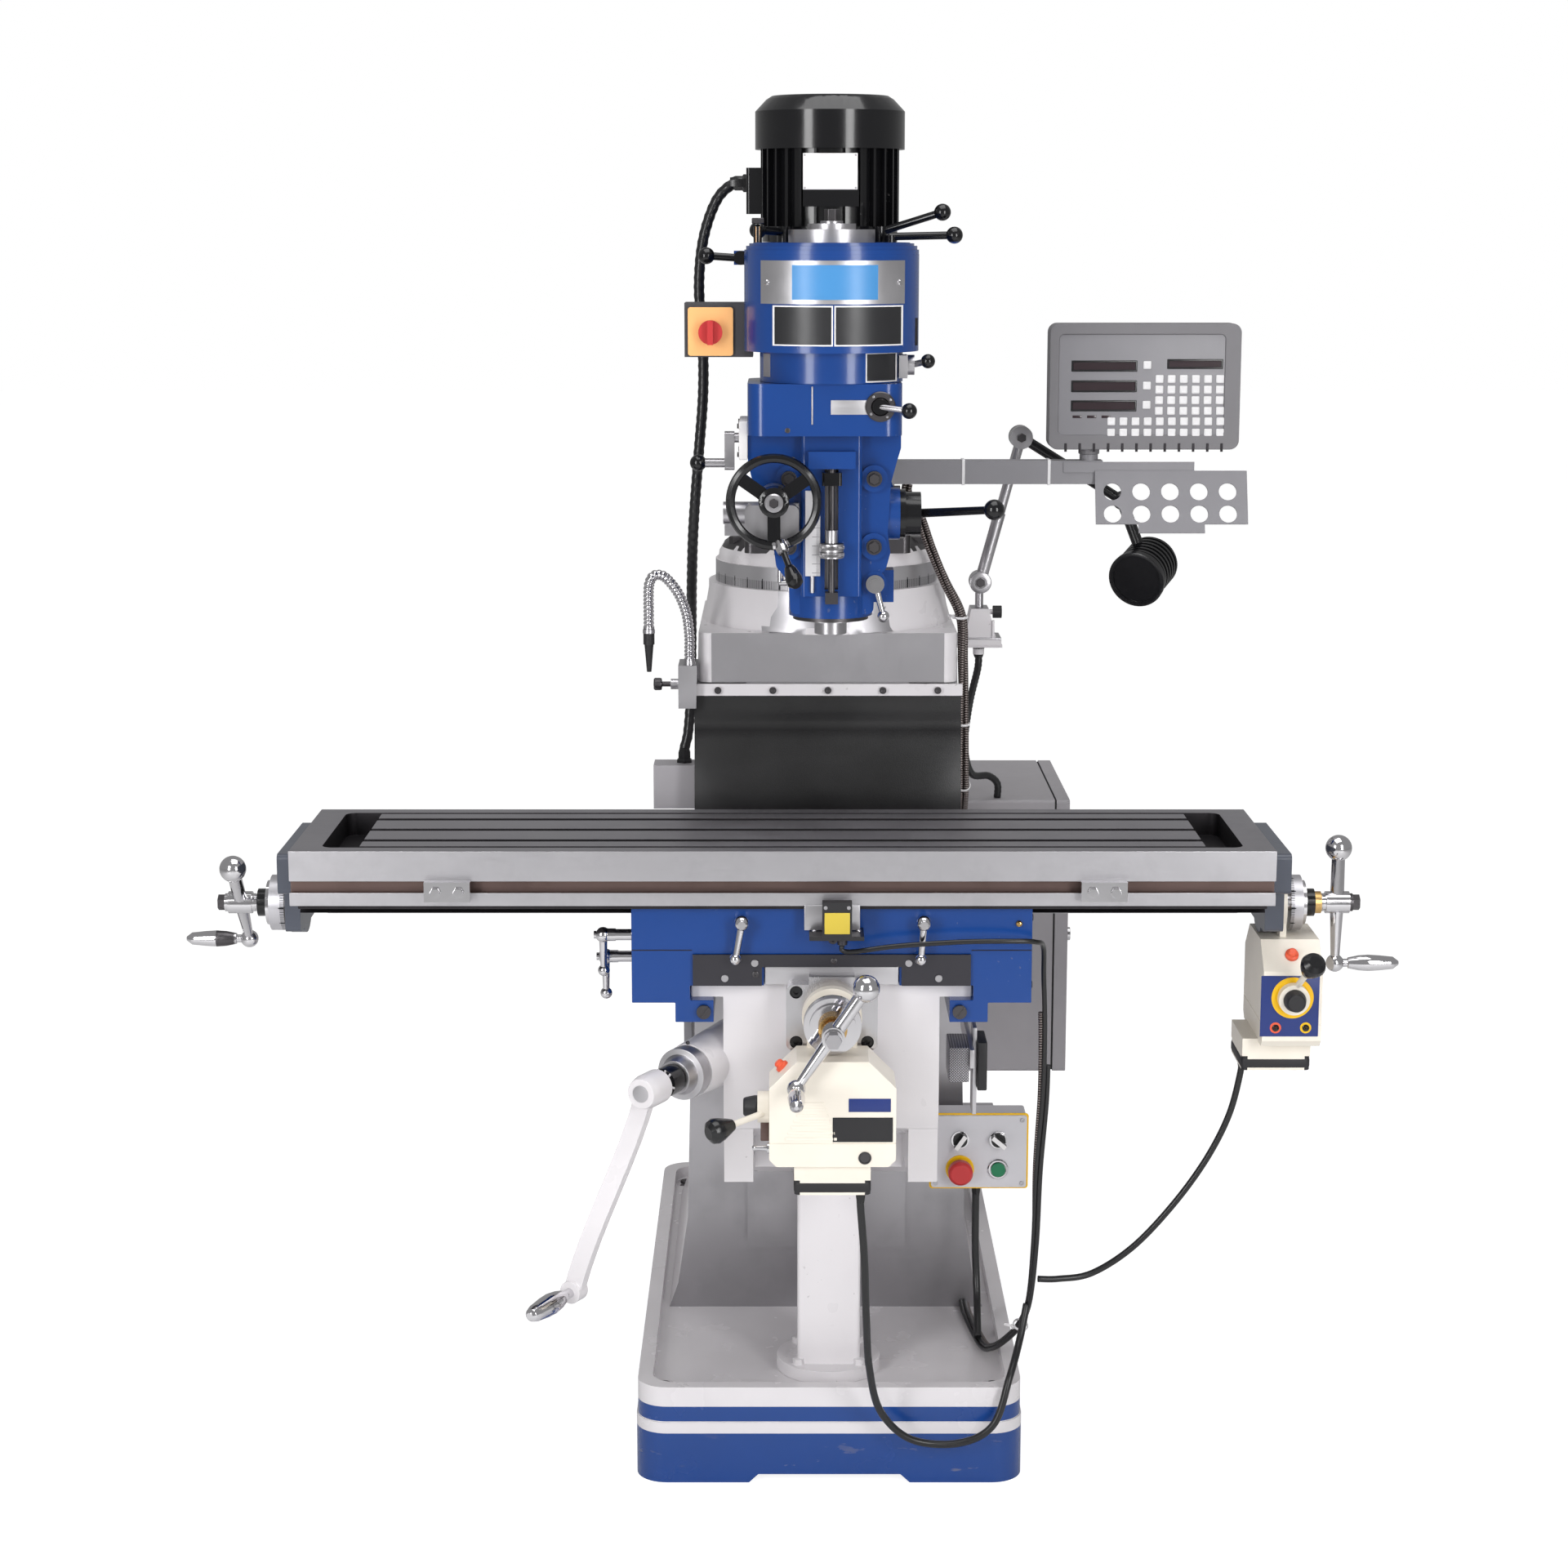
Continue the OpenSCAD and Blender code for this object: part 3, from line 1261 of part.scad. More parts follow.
module table_leadscrew() {
  left_dial = left_bearing - 6;
  right_dial = right_bearing + table_ring_t + 6;
  left_crank = left_bearing - 74;
  right_crank = right_bearing + 87;
  color(steel) {
    bar_x(left_crank - 18, right_crank + 18, table_y, leadscrew_z, 12);
    bar_x(table_x0 + 30, table_x1 - 30, table_y, leadscrew_z, leadscrew_d / 2);
    // Left dial and nut
    translate([left_dial, table_y, leadscrew_z]) rotate([0, 0, -90]) feed_dial(0, 22);
    // Right dial and nut
    translate([right_dial, table_y, leadscrew_z]) rotate([0, 0, 90]) feed_dial(0, 18);
  }
  color([0.75, 0.55, 0.25]) bar_x(right_dial + 37, right_dial + 48, table_y, leadscrew_z, 16);
  translate([left_crank, table_y, leadscrew_z]) rotate([0, 0, -90]) rotate([0, 41, 0]) ball_crank(-1);
  translate([right_crank, table_y, leadscrew_z]) rotate([0, 0, 90]) ball_crank(-1);
  color(black) {
    translate([left_crank - 20, table_y, leadscrew_z]) rotate([0, -90, 0]) hexagon(20, 12);
    translate([right_crank + 20, table_y, leadscrew_z]) rotate([0, 90, 0]) hexagon(20, 12);
  }
}

// Table power feed: the same unit turned to the leadscrew's axis

table_feed_x = right_bearing + seat_gap;
table_panel_y = table_y - feed_w / 2;

module table_feed_unit() {
  translate([table_feed_x, table_y, leadscrew_z]) rotate([0, 0, 90])
    feed_unit(0, table_ring_t, 30);
}

feed_mid_x = table_feed_x - 30 + feed_t / 2;

module table_feed_lever() {
  translate([feed_mid_x, table_panel_y - seat_gap, leadscrew_z - hub_drop]) feed_lever(13, 60);
}

module table_feed_dial() {
  translate([feed_mid_x, table_panel_y - seat_gap, leadscrew_z - hub_drop]) feed_dial_knob();
}

module table_feed_button() {
  translate([table_feed_x, table_y, leadscrew_z]) rotate([0, 0, 90]) feed_button(30 - feed_t / 2);
}

// Turret, ram and knuckle

guide_z = turret_z + 79;
ram_z = guide_z + 28;
ram_front = -225;
ram_back = 440;
nod = [0, -270, 1430];
tilt_z = nod[2];
flange_front = -345;
flange_t = 22;

module turret() {
  ring_r = turret_d / 2;
  dome_z = turret_z + turret_ring_h;
  guide_half = 128;
  color(white_paint) difference() {
    union() {
      translate([0, turret_y, 0]) rotate_extrude($fn = 96) polygon([
        [0, turret_z], [ring_r, turret_z], [ring_r, dome_z], [ring_r - 4, dome_z],
        [ring_r - 6, dome_z + 12], [ring_r - 14, dome_z + 26], [ring_r - 30, dome_z + 38],
        [ring_r - 52, dome_z + 45], [0, dome_z + 45]
      ]);
      round_block([-guide_half, turret_y - 135, dome_z + 20], [guide_half, turret_y + 135, ram_z - way_gap], 12);
      // Pivot that drops into the column
      bar_z(turret_z - 40, turret_z + 1, 0, turret_y, 40);
    }
    // Female dovetail of the ram
    front_prism(turret_y - 200, turret_y + 200, [
      [-ram_w / 2 - way_gap, guide_z - way_gap], [-ram_w / 2 + 16 - way_gap, ram_z],
      [-ram_w / 2 + 16 - way_gap, ram_z + 1], [ram_w / 2 - 16 + way_gap, ram_z + 1],
      [ram_w / 2 - 16 + way_gap, ram_z], [ram_w / 2 + way_gap, guide_z - way_gap]
    ]);
  }
  // Clamp bolts of the turret
  color(steel) for (a = [20, 160, 200, 340])
    translate([148 * cos(a), turret_y + 148 * sin(a), dome_z + 20]) hexagon(24, 18);
}

module ram() {
  half = ram_w / 2;
  cheek = 25;
  ram_top = ram_z + ram_h;
  color(white_paint) difference() {
    union() {
      front_prism(ram_front, ram_back, [
        [-half + 16, ram_z - way_gap / 2], [-half, guide_z], [half, guide_z], [half - 16, ram_z - way_gap / 2]
      ]);
      round_block_y([-half, ram_front, ram_z], [half, ram_back, ram_top], 10);
      front_prism(ram_front, ram_back, [
        [-half + 16, ram_z - 1], [half - 16, ram_z - 1], [half - 16, ram_z + 20], [-half + 16, ram_z + 20]
      ]);
      // Two cheeks that hold the nod pin
      for (s = [-1, 1]) {
        bar_x(s > 0 ? half - cheek : -half, s > 0 ? half : -half + cheek, nod[1], nod[2], 44);
        block(
          [s > 0 ? half - cheek : -half, nod[1], nod[2] - 44],
          [s > 0 ? half : -half + cheek, ram_front + 1, nod[2] + 44]
        );
      }
    }
    bar_x(-half - 1, half + 1, nod[1], nod[2], nod_pin_d / 2 + 0.03);
  }
}

module knuckle() {
  half = ram_w / 2 - 25 - seat_gap;
  color(white_paint) difference() {
    union() {
      bar_x(-half, half, nod[1], nod[2], 40);
      block([-half, flange_front + flange_t - 1, nod[2] - 40], [half, nod[1], nod[2] + 40]);
      bar_y(flange_front, flange_front + flange_t, 0, tilt_z, tilt_flange_d / 2);
    }
    // Ring slot for the head's four clamp bolts
    difference() {
      bar_y(flange_front - 1, flange_front + 14, 0, tilt_z, 87);
      bar_y(flange_front - 2, flange_front + 15, 0, tilt_z, 67);
    }
    bar_y(flange_front - 1, flange_front + 10, 0, tilt_z, 20);
  }
  color(steel) bar_x(-ram_w / 2 - 8, ram_w / 2 + 8, nod[1], nod[2], nod_pin_d / 2);
  color(steel) for (s = [-1, 1])
    translate([s * (ram_w / 2 + 8), nod[1], nod[2]]) rotate([0, s * 90, 0]) hexagon(36, 12);
}

// Head casting

quill_r = quill_d / 2;
quill_bottom = nose_z + 20;
quill_top = quill_bottom + 296;
head_back = flange_front - seat_gap;
head_front = spindle_y - 60;
head_top = 1612;
slot_low = 1322;
slot_high = 1492;
pinion_z = 1424;
bolt_x = 60;
bolt_z = 48;
lock_y = -472;
stop_y = head_front - 17.5;

// Half outline of the head seen from the front; the sides swell out to the bolt ears
function head_outline() = [
  [-58, quill_bottom + 12], [-60, 1330], [-78, 1352], [-84, 1396], [-96, 1440], [-112, 1475],
  [-118, 1500], [-118, head_top - 60], [98, head_top - 60], [98, 1520], [92, 1500], [84, 1470],
  [80, 1400], [84, 1372], [78, 1350], [62, 1330], [60, quill_bottom + 12]
];

module head() {
  slot_w = 19;
  color(blue_paint) difference() {
    union() {
      // Main body with smooth flanks
      translate([0, -362, 0]) rotate([90, 0, 0]) linear_extrude(108)
        offset(r = 10) offset(delta = -10) polygon(head_outline());
      bar_y(-372, head_back, 0, tilt_z, tilt_flange_d / 2);
      // Quill barrel with a flat front, and its thicker lower collar
      bar_z(quill_bottom + 10, head_top - 40, 0, spindle_y, 56);
      round_block([-43, head_front, quill_bottom + 40], [43, spindle_y, head_top - 60], 6);
      bar_z(quill_bottom + 8, quill_bottom + 46, 0, spindle_y, 60);
      bar_z(quill_bottom + 2, quill_bottom + 8, 0, spindle_y, 54);
      // Feed housing above: wide block with round corners
      round_block([-118, -522, head_top - 72], [98, -334, head_top], 26);
      // Boss of the quill pinion on the right
      bar_x(40, 98, spindle_y, pinion_z, 37);
      // Ears of the four clamp bolts
      for (sx = [-1, 1], sz = [-1, 1])
        bar_y(-480, head_back - 4, sx * bolt_x, tilt_z + sz * bolt_z, 19);
      // Lock boss and lower right pad
      bar_y(lock_y, -400, 62, 1329, 17);
      block([40, -440, 1298], [90, -400, 1344]);
      // Bracket over the stop screw
      block([-33, stop_y - 8, slot_high + 2], [33, head_front + 2, slot_high + 26]);
    }
    bar_z(quill_bottom - 1, quill_top + 6, 0, spindle_y, quill_r + quill_gap);
    block([-slot_w / 2, head_front - 1, slot_low], [slot_w / 2, spindle_y, slot_high]);
    // Pinion bore, drawn as far as the quill
    bar_x(35, 99, spindle_y, pinion_z, 16 + screw_gap);
    // Drawbar and spline passage to the top
    bar_z(quill_top, head_top + 1, 0, spindle_y, 24);
  }
  color(dark_grey) for (sx = [-1, 1], sz = [-1, 1]) {
    bar_y(-490, -480, sx * bolt_x, tilt_z + sz * bolt_z, 11);
    bar_y(head_back - 5, flange_front + 10, sx * bolt_x, tilt_z + sz * bolt_z, 6);
  }
  // Cast bosses on the left for the power feed clutch
  color(steel) {
    bar_x(-154, -78, -418, 1424, 16);
    block([-152, -428, 1392], [-80, -388, 1410]);
  }
  // Swan-neck fitting that oils the quill
  color([0.8, 0.7, 0.4]) {
    bar_x(-74, -56, -430, 1325, 4.5);
    bar_z(1325, 1344, -72, -430, 4.5);
  }
}

// Belt housing, drum switch box, motor

band_top = head_top + 43;
belt_z = band_top;
belt_top = belt_z + belt_h;
motor_y = -245;

// Pivot of the brake lever in its lug on the housing's left flank
brake_x = -129;
brake_z = belt_top - 22;
lug_y = -344;

// Plan of the belt housing: a wide front and a narrower back that carries the motor
module belt_plan(inset) {
  hull() {
    translate([0, spindle_y]) circle(r = belt_w / 2 - inset, $fn = 96);
    translate([0, motor_y]) circle(r = 106 - inset, $fn = 96);
  }
}

module belt_housing() {
  crown = 16;
  color(blue_paint) difference() {
    union() {
      bar_z(head_top + seat_gap, band_top + 1, 0, spindle_y, 101);
      block([-101, spindle_y, head_top + seat_gap], [101, -340, band_top + 1]);
      translate([0, 0, belt_z]) linear_extrude(belt_h - crown) belt_plan(0);
      for (i = [0 : 3]) let(a = i * 22.5)
        translate([0, 0, belt_top - crown * (1 - sin(a)) - eps])
          linear_extrude(crown * (sin(a + 22.5) - sin(a)) + 2 * eps)
            belt_plan(crown * (1 - cos(a + 11)));
      // Lug of the brake lever on the left flank
      block([brake_x - 10, lug_y, brake_z - 10], [-100, lug_y + 14, brake_z + 10]);
      // Bearing cap on the spindle axis
      bar_z(belt_top - 1, belt_top + 18, 0, spindle_y, 61);
      bar_z(belt_top + 17, belt_top + 26, 0, spindle_y, 34);
    }
    bar_z(head_top - 1, belt_top + 30, 0, spindle_y, 22);
    // Room for the pulleys inside
    translate([0, 0, belt_z + 10]) linear_extrude(belt_h - crown - 20) belt_plan(12);
    bar_y(lug_y - 1, lug_y + 16, brake_x, brake_z, 4 + seat_gap);
    // Vent slot in the right flank
    block([112, -470, belt_z + 8], [140, -452, belt_z + 46]);
  }
  color(steel) block([94, -480, head_top + 6], [106, -440, head_top + 38]);
  // Drum switch box on the left flank, with its front plate
  color(dark_grey) {
    block([-208, -420, belt_z - 10], [-belt_w / 2 + 12, -352, belt_z + 66]);
    round_block_y([-203, -425, belt_z - 8], [-139, -420, belt_z + 60], 4);
  }
  // Belt tension lever, clamped on the right of the housing
  color(black) {
    bar_z(belt_top - 2, belt_top + 10, 84, -380, 9);
    ball_lever([84, -380, belt_top + 8], [174, -400, belt_top + 10], 5.5, 12);
    bar_z(belt_top - 2, belt_top + 22, -104, -420, 6);
  }
}

module motor() {
  fin_count = 28;
  body_r = motor_d / 2;
  z0 = belt_top + seat_gap;
  z1 = z0 + motor_h;
  fan_h = 76;
  color(black) {
    bar_z(z0, z0 + 22, 0, motor_y, body_r - 2);
    bar_z(z0 + 22, z1, 0, motor_y, body_r - 9);
    for (i = [0 : fin_count - 1])
      translate([0, motor_y, z0 + 22]) rotate([0, 0, i * 360 / fin_count])
        translate([body_r - 12, -1.8, 0]) cube([12, 3.6, motor_h - 22]);
    // Terminal box at the left back
    round_block([-122, motor_y - 20, z0 + 40], [-body_r + 14, motor_y + 50, z0 + 106], 5);
    // Flat pad for the rating plate
    block([-40, motor_y - body_r - 2, z0 + 50], [40, motor_y - body_r + 12, z0 + 102]);
  }
  color(black) translate([0, motor_y, z1]) rotate_extrude($fn = 96) polygon([
    [0, 0], [body_r + 8, 0], [body_r + 8, fan_h - 22], [body_r - 8, fan_h - 5],
    [body_r - 16, fan_h], [0, fan_h]
  ]);
}

// Quill and spindle

module quill() {
  block_z = 1480;
  color(steel) difference() {
    union() {
      bar_z(quill_bottom, quill_top, 0, spindle_y, quill_r);
      // Stop block that rides on the stop screw in the front slot
      block([-7, head_front - 16, block_z - 9], [7, spindle_y - quill_r + 4, block_z + 9]);
      round_block([-14, stop_y - 14, block_z - 9], [14, head_front - 5, block_z + 9], 4);
    }
    bar_z(quill_bottom - 1, quill_top + 1, 0, spindle_y, 26);
    bar_z(quill_bottom - 1, quill_bottom + 30, 0, spindle_y, nose_d / 2 + 1);
    bar_z(block_z - 10, block_z + 10, 0, stop_y, 5 + seat_gap);
    // Rack teeth on the right, in line with the pinion
    for (i = [-6 : 14])
      block([quill_r - 5, spindle_y - 10, pinion_z - 3 + i * 8], [quill_r + 1, spindle_y + 10, pinion_z + 1 + i * 8]);
  }
}

module spindle() {
  color(steel) difference() {
    union() {
      bar_z(nose_z, quill_bottom + 28, 0, spindle_y, nose_d / 2);
      bar_z(quill_bottom + 28, quill_top - 8, 0, spindle_y, 25.7);
      bar_z(quill_top - 8, belt_top + 30, 0, spindle_y, 16);
      // Drawbar hexagon on top
      translate([0, spindle_y, belt_top + 30]) hexagon(19, 16);
    }
    bar_z(nose_z - 1, nose_z + 101, 0, spindle_y, collet_bore_d / 2);
    // Taper at the mouth of the collet bore
    translate([0, spindle_y, nose_z - eps]) cylinder(h = 14, r1 = 16, r2 = collet_bore_d / 2);
  }
}

module quill_feed_lever() {
  hub = [99, spindle_y, pinion_z];
  reach = [110, -116, 16];
  color(black) {
    bar_x(46, 100, spindle_y, pinion_z, 16);
    bar_x(98.4, 106, spindle_y, pinion_z, 35);
    bar_x(106, 128, spindle_y, pinion_z, 31);
    rod(hub + [16, 0, 0], hub + [16, 0, 0] + reach, 6.5, 5.5);
    ball(hub + [16, 0, 0] + reach, 14.5);
  }
}

// Fine feed handwheel with three spokes, turning on the front of the head

wheel_x = -81;
wheel_y = -548;
wheel_z = 1451;

module fine_feed_handwheel() {
  rim_r = 6.5;
  ring_r = wheel_d / 2 - rim_r;
  handle_at = [wheel_x + 10, wheel_y - 4, wheel_z - ring_r];
  handle_way = [0.3, -0.62, -0.72];
  color(black) translate([wheel_x, wheel_y, wheel_z]) {
    rotate([90, 0, 0]) rotate_extrude($fn = 72) translate([ring_r, 0]) circle(r = rim_r, $fn = 8);
    // Hub with its shaft into the feed clutch
    turned([0, 0, 0], [0, 1, 0], [[14, -15], [21, -12], [22, 15], [9, 15], [9, 44]]);
    for (a = [0, 125, 235]) rotate([0, a, 0])
      block([-9, -3, -ring_r], [9, 5, -16]);
  }
  // Handle clamped on the rim beside the lower spoke
  color(steel) turned(handle_at, handle_way, [[8, -6], [9, 4], [8, 12], [4.5, 13], [4.5, 40]]);
  color(black) turned(handle_at, handle_way, [[7, 38], [9, 44], [12, 58], [11, 66], [6, 71]]);
}

// Quill stop: fixed screw with two micrometer nuts, its scale, and the feed clutch housing

module quill_stop() {
  screw_low = slot_low - 4;
  color(black) {
    bar_z(screw_low, slot_high + 2 - seat_gap, 0, stop_y, 5);
    // Feet of the screw in the collar and the upper bracket
    block([-9, stop_y - 7, screw_low - 14], [9, head_front - seat_gap, screw_low + 2]);
  }
  color(steel) {
    bar_z(1390, 1408, 0, stop_y, 8.5);
    bar_z(1378, 1389, 0, stop_y, 17);
    bar_z(1369, 1377, 0, stop_y, 17);
    // Travel scale and its rod
    block([-37, head_front - 8, 1342], [-16, head_front - seat_gap, 1462]);
    bar_z(1318, 1342, -27, head_front - 4, 3);
    // Feed clutch housing behind the handwheel
    difference() {
      union() {
        round_block_y([-122, -522, 1395], [-46, -491, 1444], 10);
        block([-118, -492, 1403], [-46, -470 - seat_gap, 1444]);
      }
      bar_y(-523, -480, wheel_x, wheel_z, 9 + screw_gap);
    }
    difference() {
      bar_y(-532, -491, wheel_x, wheel_z, 22);
      bar_y(-533, -480, wheel_x, wheel_z, 9 + screw_gap);
    }
  }
}

module quill_lock() {
  color(steel) {
    translate([62, lock_y - seat_gap, 1329]) {
      rotate([90, 0, 0]) cylinder(h = 14, r = 13);
      rotate([90, 0, 0]) cylinder(h = 18, r = 8);
      rod([0, -8, 0], [12, -10, -46], 5, 4);
      ball([12, -10, -46], 8.5);
    }
  }
}

// Crank that engages the power feed, on the head's left flank
module feed_crank() {
  pivot = [-134, -400, 1530];
  color(steel) {
    bar_x(-146, -118.4, pivot[1], pivot[2], 7);
    round_block_x([-152, pivot[1] - 9, pivot[2] - 46], [-138, pivot[1] + 9, pivot[2] + 9], 5);
    turned_lever([-145, pivot[1], pivot[2] - 36], [-190, pivot[1], pivot[2] - 36], 6.5, 12);
  }
}

// Levers on the belt housing and motor: each has an upright stud and a ball on a bent rod
module top_lever(stud, knob, stud_r) {
  color(black) {
    bar_z(stud[2], stud[2] + 22, stud[0], stud[1], stud_r);
    ball_lever([stud[0], stud[1], stud[2] + 14], knob, 5.5, 12);
  }
}

module brake_lever() {
  hub_y = lug_y - seat_gap - 7;
  color(black) {
    bar_y(lug_y - seat_gap - 14, lug_y - seat_gap, brake_x, brake_z, 10);
    bar_y(lug_y - 1, lug_y + 13, brake_x, brake_z, 4);
    turned_lever([brake_x - 4, hub_y, brake_z], [-178, hub_y - 6, brake_z + 3], 5.5, 12);
  }
}

module motor_lock_left() {
  top_lever([-66, -345, belt_top + seat_gap], [-104, -392, belt_top + 17], 11);
}

module motor_lock_right() {
  top_lever([70, -345, belt_top + seat_gap], [158, -378, belt_top + 42], 11);
}

module range_lever() {
  color(black) {
    bar_x(106 + seat_gap, 116, -462, head_top + 24, 14);
    rod([112, -462, head_top + 24], [134, -486, head_top + 30], 4.5);
    ball([134, -486, head_top + 30], 10);
  }
}

module feed_knob() {
  color(black) {
    bar_y(-532, -522 - seat_gap, 67, head_top - 31, 11);
    rod([67, -528, head_top - 31], [106, -540, head_top - 36], 4.5);
    ball([106, -540, head_top - 36], 11);
  }
}

module drum_knob() {
  color([0.78, 0.12, 0.1]) {
    bar_y(-440, -425 - seat_gap, -171, belt_z + 25, 17);
    block([-175, -452, belt_z + 8], [-167, -439, belt_z + 42]);
  }
}

// Readout: arm with the tool tray on the ram's side, and the console on its pivot

arm_y = -105;
arm_z = 1458;
arm_end = 420;
pivot_x = 400;

module dro_arm() {
  tray_x0 = 408;
  tray_x1 = 640;
  lean = 20;
  plate_h = 84;
  clamp_x = ram_w / 2 + seat_gap;
  color(grey_paint) {
    block([clamp_x, arm_y - 34, arm_z - 44], [clamp_x + 16, arm_y + 34, arm_z + 20]);
    block([clamp_x + 8, arm_y - 15, arm_z - 18], [arm_end, arm_y + 15, arm_z + 18]);
    // Upright pivot for the console
    bar_z(arm_z + 18, arm_z + 27, pivot_x, arm_y, 14);
    bar_z(arm_z + 27, arm_z + 44, pivot_x, arm_y, 8);
  }
  // Tray with two rows of five holes, leaning back on its bracket
  color(grey_paint) {
    block([arm_end - 60, arm_y - 17, arm_z + 0], [560, arm_y - 14, arm_z + 16]);
    translate([0, arm_y - 16, arm_z + 2]) rotate([-lean, 0, 0]) difference() {
      union() {
        block([tray_x0, -3, -plate_h], [tray_x1, 0, 0]);
        block([473, -3, -plate_h - 14], [574, 0, -plate_h + 1]);
      }
      for (i = [0 : 4], z = [-33, -68])
        translate([tray_x0 + 26 + i * 44, 1, z]) rotate([90, 0, 0]) cylinder(h = 6, r = 13.5);
    }
  }
}

module dro_console() {
  x0 = 336;
  z0 = arm_z + 27 + seat_gap + 8;
  front = arm_y - console_t / 2;
  color(grey_paint) {
    difference() {
      bar_z(arm_z + 27 + seat_gap, z0 + 2, pivot_x, arm_y, 16);
      bar_z(arm_z + 20, z0 + 10, pivot_x, arm_y, 8 + seat_gap);
    }
    difference() {
      round_block_y([x0, front, z0], [x0 + console_w, front + console_t, z0 + console_h], 14);
      // Recessed front panel and the pivot socket
      round_block_y([x0 + 14, front - 1, z0 + 22], [x0 + console_w - 24, front + 2.5, z0 + console_h - 16], 8);
      bar_z(z0 - 1, z0 + 16, pivot_x, arm_y, 8 + seat_gap);
    }
  }
}

// Cables: each route is a list of places along the cable

motor_conduit = [
  [-122.3, -212, 1890], [-140, -212, 1890], [-166, -210, 1866], [-186, -208, 1810], [-193, -206, 1740],
  [-188, -204, 1660], [-188, -203, 1580], [-196, -200, 1480], [-204, -185, 1380], [-208, -150, 1290],
  [-210, -114, 1210], [-212, -112, 1110], [-216, -116, 1055], [-222, -120, 1028], [-222, -120, 1008.3]
];
readout_bundle = [
  [122, -104, 1439.7], [122, -104, 1424], [142, -97, 1388], [160, -92, 1340], [184, -86, 1285],
  [209, -79, 1230], [212, -74, 1160], [214, -72, 1060], [217, -62, 960], [222, 0, 898], [244, 70, 868], [262, 112, 860],
  [262, 139.7, 860]
];
lamp_cable = [
  [245, 50, 1153.7], [244, 51, 1130], [232, 62, 1070], [226, 74, 1000], [240, 110, 948],
  [270, 144, 938], [286, 160, 922], [286, 160, 898.3]
];
// From the limit switch along the saddle's front, then down its right side to the column's foot
saddle_bundle = [
  [14, -656, 845.7], [14, -656, 838], [30, -656, 836], [90, -656, 844], [180, -656, 850], [250, -652, 850],
  [284, -640, 846], [298, -604, 830], [302, -575, 780], [306, -560, 700], [306, -550, 600],
  [300, -530, 480], [300, -500, 360], [296, -470, 260], [284, -446, 212], [266, -422, 180],
  [250, -390, 156], [238, -340, 141], [224, -210, 138.4], [222, -150.3, 138.4]
];
cross_feed_loop = [
  [40, -694, 506.7], [40, -694, 480], [46, -688, 400], [50, -660, 300], [56, -620, 210], [74, -586, 130],
  [120, -574, 82], [190, -568, 74], [240, -562, 100], [264, -542, 164], [282, -496, 205], [294, -470, 252]
];
box_cable = [[232, -235, 363.7], [232, -236, 330], [232, -242, 260], [234, -262, 190], [232, -320, 142]];
table_cable = [
  [604, -462, 631.9], [603, -462, 606], [588, -460, 540], [556, -457, 470], [508, -458, 400],
  [450, -464, 338], [390, -470, 300], [340, -478, 294], [309, -481, 295]
];

function same(r, n) = [for (i = [1 : n]) r];

module head_cables() {
  color(black) {
    tube(motor_conduit, same(8, 17), 8);
    tube(readout_bundle, same(9, 14), 8);
  }
}

module base_cables() {
  color(black) {
    tube(lamp_cable, same(6, 9), 8);
    tube(saddle_bundle, concat(same(4, 9), same(10, 16)), 8);
    tube(cross_feed_loop, same(6, 13), 8, [1, 0, 0]);
    tube(box_cable, same(6, 6), 8, [1, 0, 0]);
  }
}

module table_feed_cable() {
  color(black) tube(table_cable, same(5, 9), 8);
}

base();
column();
elevating_pedestal();
electrical_cabinet();
cabinet_door();
control_box();
coolant_selector();
lamp_selector();
emergency_stop();
start_button();
way_cover();
column_fittings();
lamp_lower_arm();
lamp_head();
knee();
elevating_screw();
knee_crank();
cross_feed_bracket();
cross_feed_crank();
cross_feed_unit();
cross_feed_lever();
cross_feed_dial();
cross_feed_button();
saddle();
saddle_fittings();
table_lock_left();
table_lock_right();
saddle_lock_front();
saddle_lock_rear();
table();
table_fittings();
table_leadscrew();
table_feed_unit();
table_feed_lever();
table_feed_dial();
table_feed_button();
turret();
ram();
knuckle();
head();
belt_housing();
motor();
quill();
spindle();
quill_feed_lever();
fine_feed_handwheel();
quill_stop();
quill_lock();
feed_crank();
brake_lever();
motor_lock_left();
motor_lock_right();
range_lever();
feed_knob();
drum_knob();
dro_arm();
dro_console();
head_cables();
base_cables();
table_feed_cable();
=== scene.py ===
import json
import math
import bpy
from mathutils import Matrix, Vector

